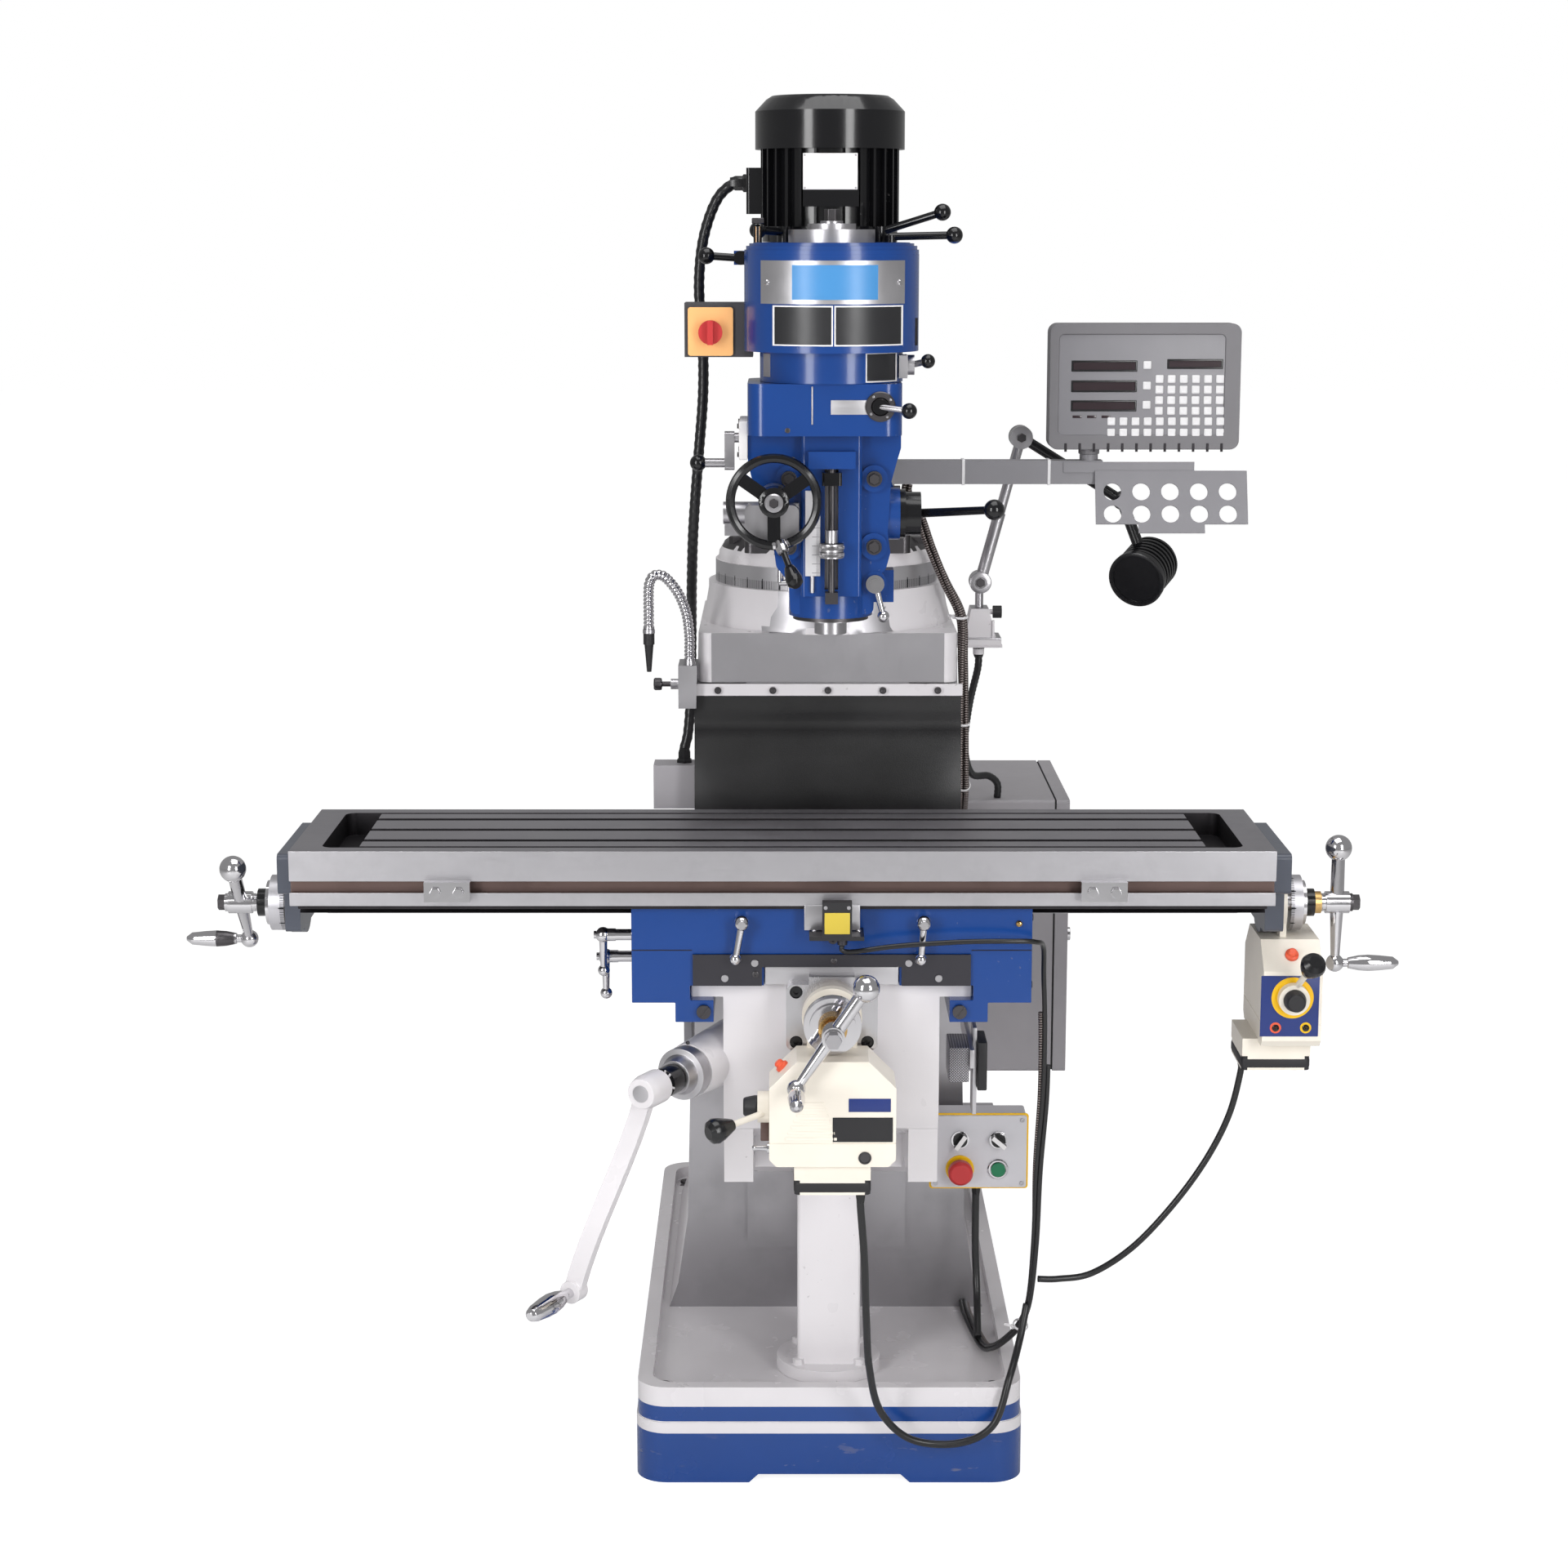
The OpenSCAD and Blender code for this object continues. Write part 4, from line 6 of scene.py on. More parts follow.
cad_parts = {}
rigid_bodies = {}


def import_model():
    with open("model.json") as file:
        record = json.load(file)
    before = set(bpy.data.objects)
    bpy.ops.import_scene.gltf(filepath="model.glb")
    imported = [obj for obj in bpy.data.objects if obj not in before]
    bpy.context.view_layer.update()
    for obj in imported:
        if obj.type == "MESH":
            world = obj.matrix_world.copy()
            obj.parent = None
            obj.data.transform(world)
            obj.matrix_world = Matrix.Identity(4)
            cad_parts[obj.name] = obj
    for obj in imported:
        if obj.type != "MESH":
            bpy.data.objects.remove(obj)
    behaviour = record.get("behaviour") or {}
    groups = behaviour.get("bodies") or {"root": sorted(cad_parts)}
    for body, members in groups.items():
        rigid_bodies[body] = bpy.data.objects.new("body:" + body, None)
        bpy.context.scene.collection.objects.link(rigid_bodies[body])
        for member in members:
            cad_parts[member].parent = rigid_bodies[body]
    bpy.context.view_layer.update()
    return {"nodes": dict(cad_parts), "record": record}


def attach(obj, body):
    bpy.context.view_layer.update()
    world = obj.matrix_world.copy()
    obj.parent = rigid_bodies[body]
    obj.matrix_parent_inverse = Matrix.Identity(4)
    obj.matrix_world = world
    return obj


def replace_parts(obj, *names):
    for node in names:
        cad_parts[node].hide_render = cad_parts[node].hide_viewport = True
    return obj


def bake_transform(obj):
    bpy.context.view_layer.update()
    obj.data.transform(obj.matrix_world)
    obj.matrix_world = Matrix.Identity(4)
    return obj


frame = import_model()
nodes = frame["nodes"]
bodyOf = {name: body for body, names in frame["record"]["behaviour"]["bodies"].items() for name in names}
print("frame loaded")

# Camera where the photograph was taken: place in metres, tilt in degrees, lens and sensor in millimetres
camera = {"place": (-0.067, -4.666, 1.820), "tilt": 79.45, "lens": 68.1, "sensor": 36}
bpy.ops.object.camera_add(location=camera["place"], rotation=(math.radians(camera["tilt"]), 0, 0))
studioCamera = bpy.context.object
studioCamera.name = "studioCamera"
studioCamera.data.lens = camera["lens"]
studioCamera.data.sensor_width = camera["sensor"]
bpy.context.scene.camera = studioCamera
bpy.context.scene.view_settings.view_transform = "Standard"


# An operator of a wire stands for one operation of the maths node
def operator(operation, swapped=False):
    if swapped:
        return lambda self, other: self.sum(operation, other, self)
    return lambda self, other: self.sum(operation, self, other)


class Wire:
    # A socket that can be used in sums
    def __init__(self, tree, socket):
        self.tree = tree
        self.socket = socket

    def sum(self, operation, first, second):
        made = self.tree.nodes.new("ShaderNodeMath")
        made.operation = operation
        for number, value in enumerate((first, second)):
            if isinstance(value, Wire):
                self.tree.links.new(value.socket, made.inputs[number])
            else:
                made.inputs[number].default_value = value
        return Wire(self.tree, made.outputs[0])

    __add__, __radd__ = operator("ADD"), operator("ADD", True)
    __sub__, __rsub__ = operator("SUBTRACT"), operator("SUBTRACT", True)
    __mul__, __rmul__ = operator("MULTIPLY"), operator("MULTIPLY", True)
    __gt__, __lt__ = operator("GREATER_THAN"), operator("LESS_THAN")
    __mod__ = operator("FLOORED_MODULO")
    larger, smaller = operator("MAXIMUM"), operator("MINIMUM")


class Finish:
    # A material under construction: its shader, its place on the object, and nodes by one method, which
    # takes a node's sockets by name, or by number as i0, i1 and so on
    def __init__(self, name, **constants):
        self.material = bpy.data.materials.new(name)
        self.material.use_nodes = True
        self.tree = self.material.node_tree
        self.shader = self.tree.nodes["Principled BSDF"]
        for socket, value in constants.items():
            self.shader.inputs[socket.replace("_", " ")].default_value = value
        self.place = self.node("ShaderNodeTexCoord", out="Object")

    def node(self, kind, settings=None, out=0, **sockets):
        made = self.tree.nodes.new(kind)
        for name, value in (settings or {}).items():
            setattr(made, name, value)
        for name, value in sockets.items():
            socket = made.inputs[int(name[1:]) if name[1:].isdigit() else name]
            if isinstance(value, Wire):
                self.tree.links.new(value.socket, socket)
            else:
                socket.default_value = value
        return Wire(self.tree, made.outputs[out])

    def axis(self, letter):
        return self.node("ShaderNodeSeparateXYZ", out=letter, Vector=self.place)

    # Noise with features of about 1/scale metres; stretch draws it out along axes
    def noise(self, scale, detail=2.0, stretch=(1, 1, 1)):
        spread = self.node("ShaderNodeMapping", Vector=self.place, Scale=tuple(scale * s for s in stretch))
        return self.node("ShaderNodeTexNoise", Vector=spread, Scale=1.0, Detail=detail)

    def step(self, value, low, high):
        smooth = {"interpolation_type": "SMOOTHSTEP"}
        return self.node("ShaderNodeMapRange", smooth, i0=value, i1=low, i2=high, i3=0.0, i4=1.0)

    def mix(self, share, first, second):
        return self.node("ShaderNodeMix", {"data_type": "RGBA"}, out=2, i0=share, i6=first, i7=second)

    # Colours set by share: a light and a dark tone of one colour
    def tones(self, share, colour, spread):
        dark = tuple(c * (1 - spread) for c in colour) + (1,)
        light = tuple(min(1, c * (1 + spread)) for c in colour) + (1,)
        return self.mix(share, dark, light)

    def bump(self, height, distance):
        return self.node("ShaderNodeBump", Height=height, Distance=distance, Strength=1.0)

    def feed(self, **links):
        for socket, wire in links.items():
            self.tree.links.new(wire.socket, self.shader.inputs[socket.replace("_", " ")])
        return self.material


# Enamel on castings: a faint mottle, orange peel, the casting's slow waves, and grime in patches
def enamel(name, colour, rough=0.24, grime=0.12, peel=0.00012, specular=0.5):
    f = Finish(name, Specular_IOR_Level=specular, Coat_Weight=0.25, Coat_Roughness=0.08)
    mottle = f.noise(9, 3)
    patches = f.step(f.noise(5.5, 6), 0.56, 0.78)
    fleck = f.step(f.noise(120, 2), 0.70, 0.76) * f.step(f.noise(7, 2), 0.5, 0.6)
    clean = f.tones(mottle, colour, 0.05)
    dirty = tuple(c * 0.62 for c in colour) + (1,)
    body = f.mix(patches * grime, clean, dirty)
    body = f.mix(fleck * 0.35, body, (0.16, 0.15, 0.15, 1))
    height = f.noise(260, 2) * 0.35 + f.noise(34, 2) * 1.6
    return f.feed(
        Base_Color=body, Roughness=rough + 0.1 * f.noise(14, 3) + 0.12 * fleck,
        Normal=f.bump(height, peel),
    )


# Moulded plastic and smooth sheet paint with a fine spark of grain
def moulded(name, colour, rough=0.38, grain=900, depth=0.00003, spread=0.05):
    f = Finish(name)
    return f.feed(
        Base_Color=f.tones(f.noise(22, 3), colour, spread), Roughness=rough + 0.1 * f.noise(40, 3),
        Normal=f.bump(f.noise(grain, 2), depth),
    )


# Bare metal; the brushing runs along the axis whose stretch is small
def metal(name, colour, rough, stretch=(1, 1, 1), scratch=0.3, depth=0.00002, stain=0.0):
    f = Finish(name, Metallic=1.0)
    brushed = f.noise(900, 3, stretch)
    worn = f.step(f.noise(11, 5), 0.42, 0.72)
    tone = f.tones(f.noise(6, 4), colour, 0.1)
    stained = tuple(c * 0.45 for c in colour) + (1,)
    return f.feed(
        Base_Color=f.mix(worn * stain, tone, stained),
        Roughness=rough + scratch * 0.3 * brushed + 0.1 * worn, Normal=f.bump(brushed, depth),
    )


# A graduated ring: ticks by angle about an axis through a centre, on a bright ground; every tenth is longer
def graduated(name, colour, centre, axisName, ticks, edge, share=0.5):
    f = Finish(name, Metallic=0.85)
    turned = f.node("ShaderNodeMapping", Vector=f.place, Location=tuple(-c for c in centre))
    parts = {letter: f.node("ShaderNodeSeparateXYZ", out=letter, Vector=turned) for letter in "XYZ"}
    across = [letter for letter in "XYZ" if letter != axisName]
    angle = f.node("ShaderNodeMath", {"operation": "ARCTAN2"}, i0=parts[across[0]], i1=parts[across[1]])
    turn = (angle + math.pi) * (ticks / math.tau)
    fine = (turn % 1.0 > 0.5 - share * 0.28) * (turn % 1.0 < 0.5 + share * 0.28)
    coarse = ((turn * 0.1) % 1.0 > 0.47) * ((turn * 0.1) % 1.0 < 0.53)
    reach = f.step(parts[axisName], edge[0], edge[1])
    marks = fine * (reach > 0.5) + coarse * (reach > 0.1)
    tone = f.tones(f.noise(8, 4), colour, 0.08)
    return f.feed(
        Base_Color=f.mix(marks.smaller(1.0), tone, (0.03, 0.03, 0.035, 1)),
        Roughness=0.3 + 0.12 * f.noise(500, 2, (1, 1, 0.05)),
        Normal=f.bump(1 - marks.smaller(1.0), 0.0001),
    )


blue = (0.0055, 0.047, 0.225)
white = (0.70, 0.675, 0.695)
whiteEnamel = enamel("whiteEnamel", white)
blueEnamel = enamel("blueEnamel", blue, rough=0.2, grime=0.25, specular=0.35)
blackEnamel = enamel("blackEnamel", (0.0045, 0.0045, 0.0055), 0.13, 0.0, 0.00006, 0.35)
greySheet = moulded("greySheet", (0.36, 0.345, 0.365), 0.34)
consoleGrey = moulded("consoleGrey", (0.155, 0.15, 0.16), 0.42, 1400, 0.00006)
trayGrey = moulded("trayGrey", (0.215, 0.21, 0.225), 0.36, 1200, 0.00004)
creamPlastic = moulded("creamPlastic", (0.80, 0.745, 0.655), 0.3)
blackPlastic = moulded("blackPlastic", (0.0065, 0.0065, 0.0075), 0.2, 700, 0.00002)
softBlack = moulded("softBlack", (0.013, 0.0125, 0.0145), 0.48, 700, 0.00005)
switchGrey = moulded("switchGrey", (0.045, 0.043, 0.048), 0.4, 700, 0.00004)
redPlastic = moulded("redPlastic", (0.52, 0.028, 0.03), 0.3)
orangePlastic = moulded("orangePlastic", (0.80, 0.11, 0.045), 0.3)
greenPlastic = moulded("greenPlastic", (0.006, 0.17, 0.07), 0.3)
yellowPlastic = moulded("yellowPlastic", (0.86, 0.50, 0.0), 0.32)
patchYellow = moulded("patchYellow", (0.58, 0.44, 0.045), 0.4)
darkLens = moulded("darkLens", (0.030, 0.018, 0.022), 0.12, 300, 0.00001)
keyWhite = moulded("keyWhite", (0.70, 0.69, 0.70), 0.4)
navyPanel = moulded("navyPanel", (0.012, 0.03, 0.17), 0.3)
peachPanel = moulded("peachPanel", (0.90, 0.47, 0.17), 0.4)
skyField = moulded("skyField", (0.055, 0.25, 0.55), 0.28)
whitePlate = moulded("whitePlate", (0.82, 0.80, 0.80), 0.35)
blackPlate = moulded("blackPlate", (0.016, 0.016, 0.018), 0.3)
tieWhite = moulded("tieWhite", (0.72, 0.71, 0.72), 0.4)
paleFace = moulded("paleFace", (0.60, 0.59, 0.62), 0.35)
chrome = metal("chrome", (0.66, 0.65, 0.67), 0.06, scratch=0.1, depth=0.000004)
satinSteel = metal("satinSteel", (0.50, 0.49, 0.51), 0.24, (1, 1, 0.2), 0.5)
turnedSteel = metal("turnedSteel", (0.46, 0.45, 0.47), 0.22, (0.05, 1, 1), 0.5)
darkSteel = metal("darkSteel", (0.10, 0.095, 0.10), 0.3, scratch=0.4, stain=0.4)
brass = metal("brass", (0.62, 0.40, 0.16), 0.2, (1, 0.1, 0.1), 0.3)
brushedPlate = metal("brushedPlate", (0.60, 0.59, 0.61), 0.22, (0.02, 1, 1), 0.8, 0.00003)
groundTop = metal("groundTop", (0.36, 0.35, 0.375), 0.3, (0.012, 1, 1), 0.7, 0.00003, 0.25)
groundFront = metal("groundFront", (0.55, 0.54, 0.565), 0.26, (0.02, 1, 1), 0.6, 0.00003, 0.35)
groundWay = metal("groundWay", (0.44, 0.43, 0.45), 0.28, (1, 1, 0.03), 0.5, 0.00002, 0.2)
# painted shade: near-black steel laid into slots and grooves and under the table, where shade falls; the
# same dark finish also colours the saddle's seams
slotDark = metal("slotDark", (0.045, 0.042, 0.046), 0.42, (0.05, 1, 1), 0.5, 0.00005, 0.5)
brownGroove = metal("brownGroove", (0.165, 0.115, 0.105), 0.36, (0.02, 1, 1), 0.8, 0.00005, 0.3)
wiperPlate = metal("wiperPlate", (0.068, 0.066, 0.075), 0.34, (1, 1, 1), 0.5, 0.00003)
aluminium = metal("aluminium", (0.56, 0.55, 0.57), 0.28, (1, 0.2, 0.2), 0.4)


def blackRubber():
    f = Finish("blackRubber", Specular_IOR_Level=0.6)
    bloom = f.step(f.noise(12, 4, (0.35, 1, 1)), 0.45, 0.8)
    tone = f.mix(bloom * 0.5, (0.0045, 0.0042, 0.0048, 1), (0.017, 0.016, 0.018, 1))
    height = f.noise(600, 2) * 0.3 + f.noise(16, 2, (0.3, 1, 1))
    return f.feed(Base_Color=tone, Roughness=0.22 + 0.2 * f.noise(9, 4), Normal=f.bump(height, 0.0004))


def stripedEnamel():
    # The base's bands by height in metres: blue foot, white line, blue line, and white above
    f = Finish("stripedEnamel", Specular_IOR_Level=0.45, Coat_Weight=0.25, Coat_Roughness=0.08)
    height = f.axis("Z")
    bands = {"foot": 0.077, "line": 0.095, "top": 0.118}
    blueShare = (height < bands["foot"]) + (height > bands["line"]) * (height < bands["top"])
    scuff = f.step(f.noise(60, 4, (0.3, 0.3, 1)), 0.66, 0.74) * f.step(0.09 - height, 0.0, 0.09)
    body = f.mix(blueShare, f.tones(f.noise(9, 3), white, 0.05), f.tones(f.noise(9, 3), blue, 0.08))
    body = f.mix(scuff * 0.7, body, (0.22, 0.2, 0.2, 1))
    return f.feed(
        Base_Color=body, Roughness=0.2 + 0.12 * f.noise(14, 3) + 0.2 * scuff,
        Normal=f.bump(f.noise(260, 2) * 0.35 + f.noise(30, 2), 0.00012),
    )


def armouredHose():
    # Wound steel strip, seen along the hose's own length; the grooves between its windings are painted dark
    # as painted shade
    f = Finish("armouredHose", Metallic=0.9)
    along = f.node("ShaderNodeUVMap", {"uv_map": "UVMap"})
    turn = f.node("ShaderNodeSeparateXYZ", out="Y", Vector=along) * 260.0
    wave = f.node("ShaderNodeMath", {"operation": "SINE"}, i0=turn * math.tau)
    # painted shade: the steel is painted dark in the grooves between windings and light on their crests
    tone = f.mix(f.step(wave, -0.5, 0.6), (0.07, 0.055, 0.05, 1), (0.33, 0.29, 0.28, 1))
    return f.feed(Base_Color=tone, Roughness=0.3 + 0.15 * f.noise(60, 2), Normal=f.bump(wave, 0.0006))


rubber = blackRubber()
baseEnamel = stripedEnamel()
armour = armouredHose()
cableBlack = moulded("cableBlack", (0.010, 0.010, 0.011), 0.26, 200, 0.00004)
turretRing = graduated("turretRing", (0.55, 0.54, 0.56), (0, 0.02, 0), "Z", 360, (1.297, 1.287))
crossDial = graduated("crossDial", (0.62, 0.61, 0.63), (0, 0, 0.7431), "Y", 100, (-0.697, -0.691), 0.7)
dialGrey, tableScrew = (0.58, 0.57, 0.6), (0, -0.4875, 0.8682)
leftTableDial = graduated("leftTableDial", dialGrey, tableScrew, "X", 100, (-0.792, -0.786), 0.7)
rightTableDial = graduated("rightTableDial", dialGrey, tableScrew, "X", 100, (0.667, 0.661), 0.7)
groundPlate = metal("groundPlate", (0.60, 0.59, 0.61), 0.13, (1, 1, 0.2), 0.4, 0.00001)
bracketGrey = enamel("bracketGrey", (0.062, 0.07, 0.095), rough=0.3, grime=0.3)
kneeDialFinish = metal("kneeDialFinish", (0.56, 0.55, 0.57), 0.3, scratch=0.4)


def knurlFinish():
    # Fine upright knurling round the nuts of the quill stop, whose axis is at this Y; the grooves between
    # its ridges are painted dark as painted shade
    f = Finish("knurledSteel", Metallic=1.0)
    x, y = f.axis("X"), f.axis("Y") + 0.5075
    turn = f.node("ShaderNodeMath", {"operation": "ARCTAN2"}, i0=y, i1=x) * (90 / math.tau)
    ridge = f.step(turn % 1.0, 0.1, 0.5) * f.step(1 - turn % 1.0, 0.1, 0.5)
    # painted shade: the steel is painted dark in the knurl's grooves and light on its ridges
    tone = f.mix(ridge, (0.16, 0.155, 0.16, 1), (0.55, 0.54, 0.56, 1))
    return f.feed(Base_Color=tone, Roughness=0.25 + 0.1 * f.noise(90, 2), Normal=f.bump(ridge, 0.0006))


def knurlPlateFinish():
    # Diamond pattern pressed into an aluminium case; its grooves are painted dark as painted shade
    f = Finish("knurlPlate", Metallic=0.9)
    x, z = f.axis("X") * 260, f.axis("Z") * 260
    cross = f.step((x + z) % 1.0, 0.15, 0.5) * f.step((x - z) % 1.0, 0.15, 0.5)
    # painted shade: the case is painted dark along the pressed grooves and light on the diamonds
    tone = f.mix(cross, (0.16, 0.155, 0.16, 1), (0.58, 0.57, 0.6, 1))
    return f.feed(Base_Color=tone, Roughness=0.3 + 0.1 * f.noise(60, 2), Normal=f.bump(cross, 0.0008))


def scaleFinish():
    # A white scale with a tick each twentieth of an inch, longer at each half inch
    f = Finish("travelScale", Metallic=0.3)
    height, right = f.axis("Z") * 1000, f.axis("X") * 1000 + 16.5
    fine = (height % 1.27 < 0.36) * (right > -5)
    long = (height % 12.7 < 0.6) * (right > -11)
    marks = (fine + long).smaller(1.0)
    tone = f.tones(f.noise(30, 3), (0.66, 0.65, 0.67), 0.05)
    return f.feed(Base_Color=f.mix(marks, tone, (0.03, 0.03, 0.04, 1)), Roughness=0.3 + 0.1 * f.noise(90, 2))


knurledSteel = knurlFinish()
knurlPlate = knurlPlateFinish()
travelScale = scaleFinish()
print("finishes ready")


# World, floor and lamps: plain white background, soft lamps on both sides, above and in front
def makeStudio():
    world = bpy.data.worlds.new("studioWorld")
    world.use_nodes = True
    bpy.context.scene.world = world
    tree = world.node_tree
    sky = tree.nodes["Background"]
    path = tree.nodes.new("ShaderNodeLightPath")
    seen = Wire(tree, path.outputs["Is Camera Ray"]).larger(Wire(tree, path.outputs["Is Transmission Ray"]))
    glossy = Wire(tree, path.outputs["Is Glossy Ray"])
    mirrored, diffuse = 0.30, 0.34
    strength = seen.larger(glossy * mirrored).larger(diffuse)
    tree.links.new(strength.socket, sky.inputs["Strength"])
    sky.inputs["Color"].default_value = (1, 1, 1, 1)
    bpy.ops.mesh.primitive_plane_add(size=60, location=(0, 0, 0))
    floor = bpy.context.object
    floor.name = "studioFloor"
    f = Finish("studioFloorFinish", Roughness=0.6, Specular_IOR_Level=0.1, Base_Color=(0.86, 0.86, 0.86, 1))
    ray = f.node("ShaderNodeLightPath", out="Is Camera Ray")
    glow = f.node("ShaderNodeEmission", Color=(1, 1, 1, 1), Strength=1.72)
    lit = f.node("ShaderNodeMixShader", i0=ray * 0.5, i1=Wire(f.tree, f.shader.outputs[0]), i2=glow)
    f.tree.links.new(lit.socket, f.tree.nodes["Material Output"].inputs["Surface"])
    floor.data.materials.append(f.material)
    lamps = {
        "leftLamp": ((-1.9, -3.1, 1.75), (0.75, 2.0), 48),
        "rightLamp": ((1.7, -3.3, 1.75), (0.75, 2.0), 48),
        "topLamp": ((0.1, -0.9, 4.2), (2.6, 2.6), 62),
        "fillLamp": ((-0.3, -6.4, 2.0), (3.4, 3.0), 36),
    }
    aim = Vector((-0.05, -0.4, 1.0))
    for name, (place, size, power) in lamps.items():
        bpy.ops.object.light_add(type="AREA", location=place)
        lamp = bpy.context.object
        lamp.name = name
        lamp.data.shape = "RECTANGLE"
        lamp.data.size, lamp.data.size_y = size
        lamp.data.energy = power
        lamp.visible_glossy = name != "fillLamp"
        lamp.rotation_euler = (aim - Vector(place)).to_track_quat("-Z", "Y").to_euler()


makeStudio()
print("studio ready")

# Routes of the cords, in millimetres
routes = {
    "motorConduit": (
        (-122.3, -212, 1890), (-140, -212, 1890), (-166, -210, 1866), (-186, -208, 1810),
        (-193, -206, 1740), (-188, -204, 1660), (-188, -203, 1580), (-196, -200, 1480),
        (-204, -185, 1380), (-208, -150, 1290), (-210, -114, 1210), (-212, -112, 1110),
        (-216, -116, 1055), (-222, -120, 1028), (-222, -120, 1008.3),
    ),
    "readoutBundle": (
        (122, -104, 1439.7), (122, -104, 1424), (142, -97, 1388), (160, -92, 1340), (184, -86, 1285),
        (209, -79, 1230), (212, -74, 1160), (214, -72, 1060), (217, -62, 960), (222, 0, 898),
        (244, 70, 868), (262, 112, 860), (262, 139.7, 860),
    ),
    "lampCable": (
        (245, 50, 1153.7), (244, 51, 1130), (232, 62, 1070), (226, 74, 1000), (240, 110, 948),
        (270, 144, 938), (286, 160, 922), (286, 160, 898.3),
    ),
    "saddleBundle": (
        (14, -656, 845.7), (14, -656, 838), (30, -656, 836), (90, -656, 844), (180, -656, 850),
        (250, -652, 850), (284, -640, 846), (298, -604, 830), (302, -575, 780), (306, -560, 700),
        (306, -550, 600), (300, -530, 480), (300, -500, 360), (296, -470, 260), (284, -446, 212),
        (266, -422, 180), (250, -390, 156), (238, -340, 141), (224, -210, 138.4), (222, -150.3, 138.4),
    ),
    "crossFeedLoop": (
        (40, -694, 506.7), (40, -694, 480), (46, -688, 400), (50, -660, 300), (56, -620, 210),
        (74, -586, 130), (120, -574, 82), (190, -568, 74), (240, -562, 100), (264, -542, 164),
        (282, -496, 205), (294, -470, 252),
    ),
    "boxCable": (
        (232, -235, 363.7), (232, -236, 330), (232, -242, 260), (234, -262, 190), (232, -320, 142),
    ),
    "tableCable": (
        (604, -462, 631.9), (603, -462, 606), (588, -460, 540), (556, -457, 470), (508, -458, 400),
        (450, -464, 338), (390, -470, 300), (340, -478, 294), (309, -481, 295),
    ),
}


# A point of the smooth curve through the given points
def along(points, share):
    n = len(points) - 1
    s = min(share * n, n - 1e-6)
    i = math.floor(s)
    f = s - i
    p0, p1, p2, p3 = (Vector(points[min(max(i + d, 0), n)]) for d in (-1, 0, 1, 2))
    return 0.5 * (2 * p1 + (p2 - p0) * f + (2 * p0 - 5 * p1 + 4 * p2 - p3) * f * f
                  + (3 * p1 - p0 - 3 * p2 + p3) * f ** 3)


# The curve in steps of one length, in metres
def evenly(points, pitch):
    samples = 4000
    fine = [along(points, k / samples) / 1000 for k in range(samples + 1)]
    total = sum((b - a).length for a, b in zip(fine, fine[1:]))
    count = max(8, round(total / pitch))
    out = [fine[0]]
    walked = 0.0
    for a, b in zip(fine, fine[1:]):
        walked += (b - a).length
        if walked >= total / count * len(out) - 1e-9:
            out.append(b)
    if len(out) <= count:
        out.append(fine[-1])
    out[-1] = fine[-1]
    return out


# Frames carried along a line without twist: for each point its two cross directions
def carried(line):
    ways = [(line[min(i + 1, len(line) - 1)] - line[max(i - 1, 0)]).normalized() for i in range(len(line))]
    side = ways[0].orthogonal().normalized()
    sides = []
    for i, way in enumerate(ways):
        if i:
            side = ways[i - 1].rotation_difference(way) @ side
        side = (side - way * side.dot(way)).normalized()
        sides.append((side, way.cross(side)))
    return sides


# A capped tube along a line, with a radius for each point and a UV that runs along it
def tube(name, line, radii, finish, facets=10):
    sides = carried(line)
    verts = []
    for point, (u, v), r in zip(line, sides, radii):
        for k in range(facets):
            turn = math.tau * k / facets
            verts.append(point + (u * math.cos(turn) + v * math.sin(turn)) * r)
    faces = []
    for i in range(len(line) - 1):
        for k in range(facets):
            a, b = i * facets + k, i * facets + (k + 1) % facets
            faces.append((a, b, b + facets, a + facets))
    last = (len(line) - 1) * facets
    faces.append(tuple(range(facets - 1, -1, -1)))
    faces.append(tuple(range(last, last + facets)))
    mesh = bpy.data.meshes.new(name)
    mesh.from_pydata(verts, [], faces)
    walked = [0.0]
    for a, b in zip(line, line[1:]):
        walked.append(walked[-1] + (b - a).length)
    layer = mesh.uv_layers.new(name="UVMap")
    for poly in mesh.polygons:
        for loop in poly.loop_indices:
            index = mesh.loops[loop].vertex_index
            layer.data[loop].uv = ((index % facets) / facets, walked[index // facets])
    mesh.materials.append(finish)
    made = bpy.data.objects.new(name, mesh)
    bpy.context.scene.collection.objects.link(made)
    for poly in mesh.polygons:
        poly.use_smooth = len(poly.vertices) == 4
    return made


# One strand of a bundle: the route moved aside across its own frame, in metres
def strand(points, pitch, aside=(0, 0), share=(0, 1), weave=0.0):
    line = evenly(points, pitch)
    sides = carried(line)
    n = len(line) - 1
    first, last = round(share[0] * n), round(share[1] * n)
    out = []
    for i in range(first, last + 1):
        u, v = sides[i]
        turn = weave * i / n * math.tau
        x = aside[0] * math.cos(turn) - aside[1] * math.sin(turn)
        y = aside[0] * math.sin(turn) + aside[1] * math.cos(turn)
        out.append(line[i] + u * x + v * y)
    return out


cordPitch = 0.0035


# A cord: its tube, and the body that it rides on; a cord given a reach is left where it was laid, on no body
def layCord(name, line, radii, finish, facets, diameter, *bodies, reach=None):
    made = tube(name, line, radii, finish, facets)
    if reach:
        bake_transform(made)
    else:
        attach(made, *bodies)
    return made


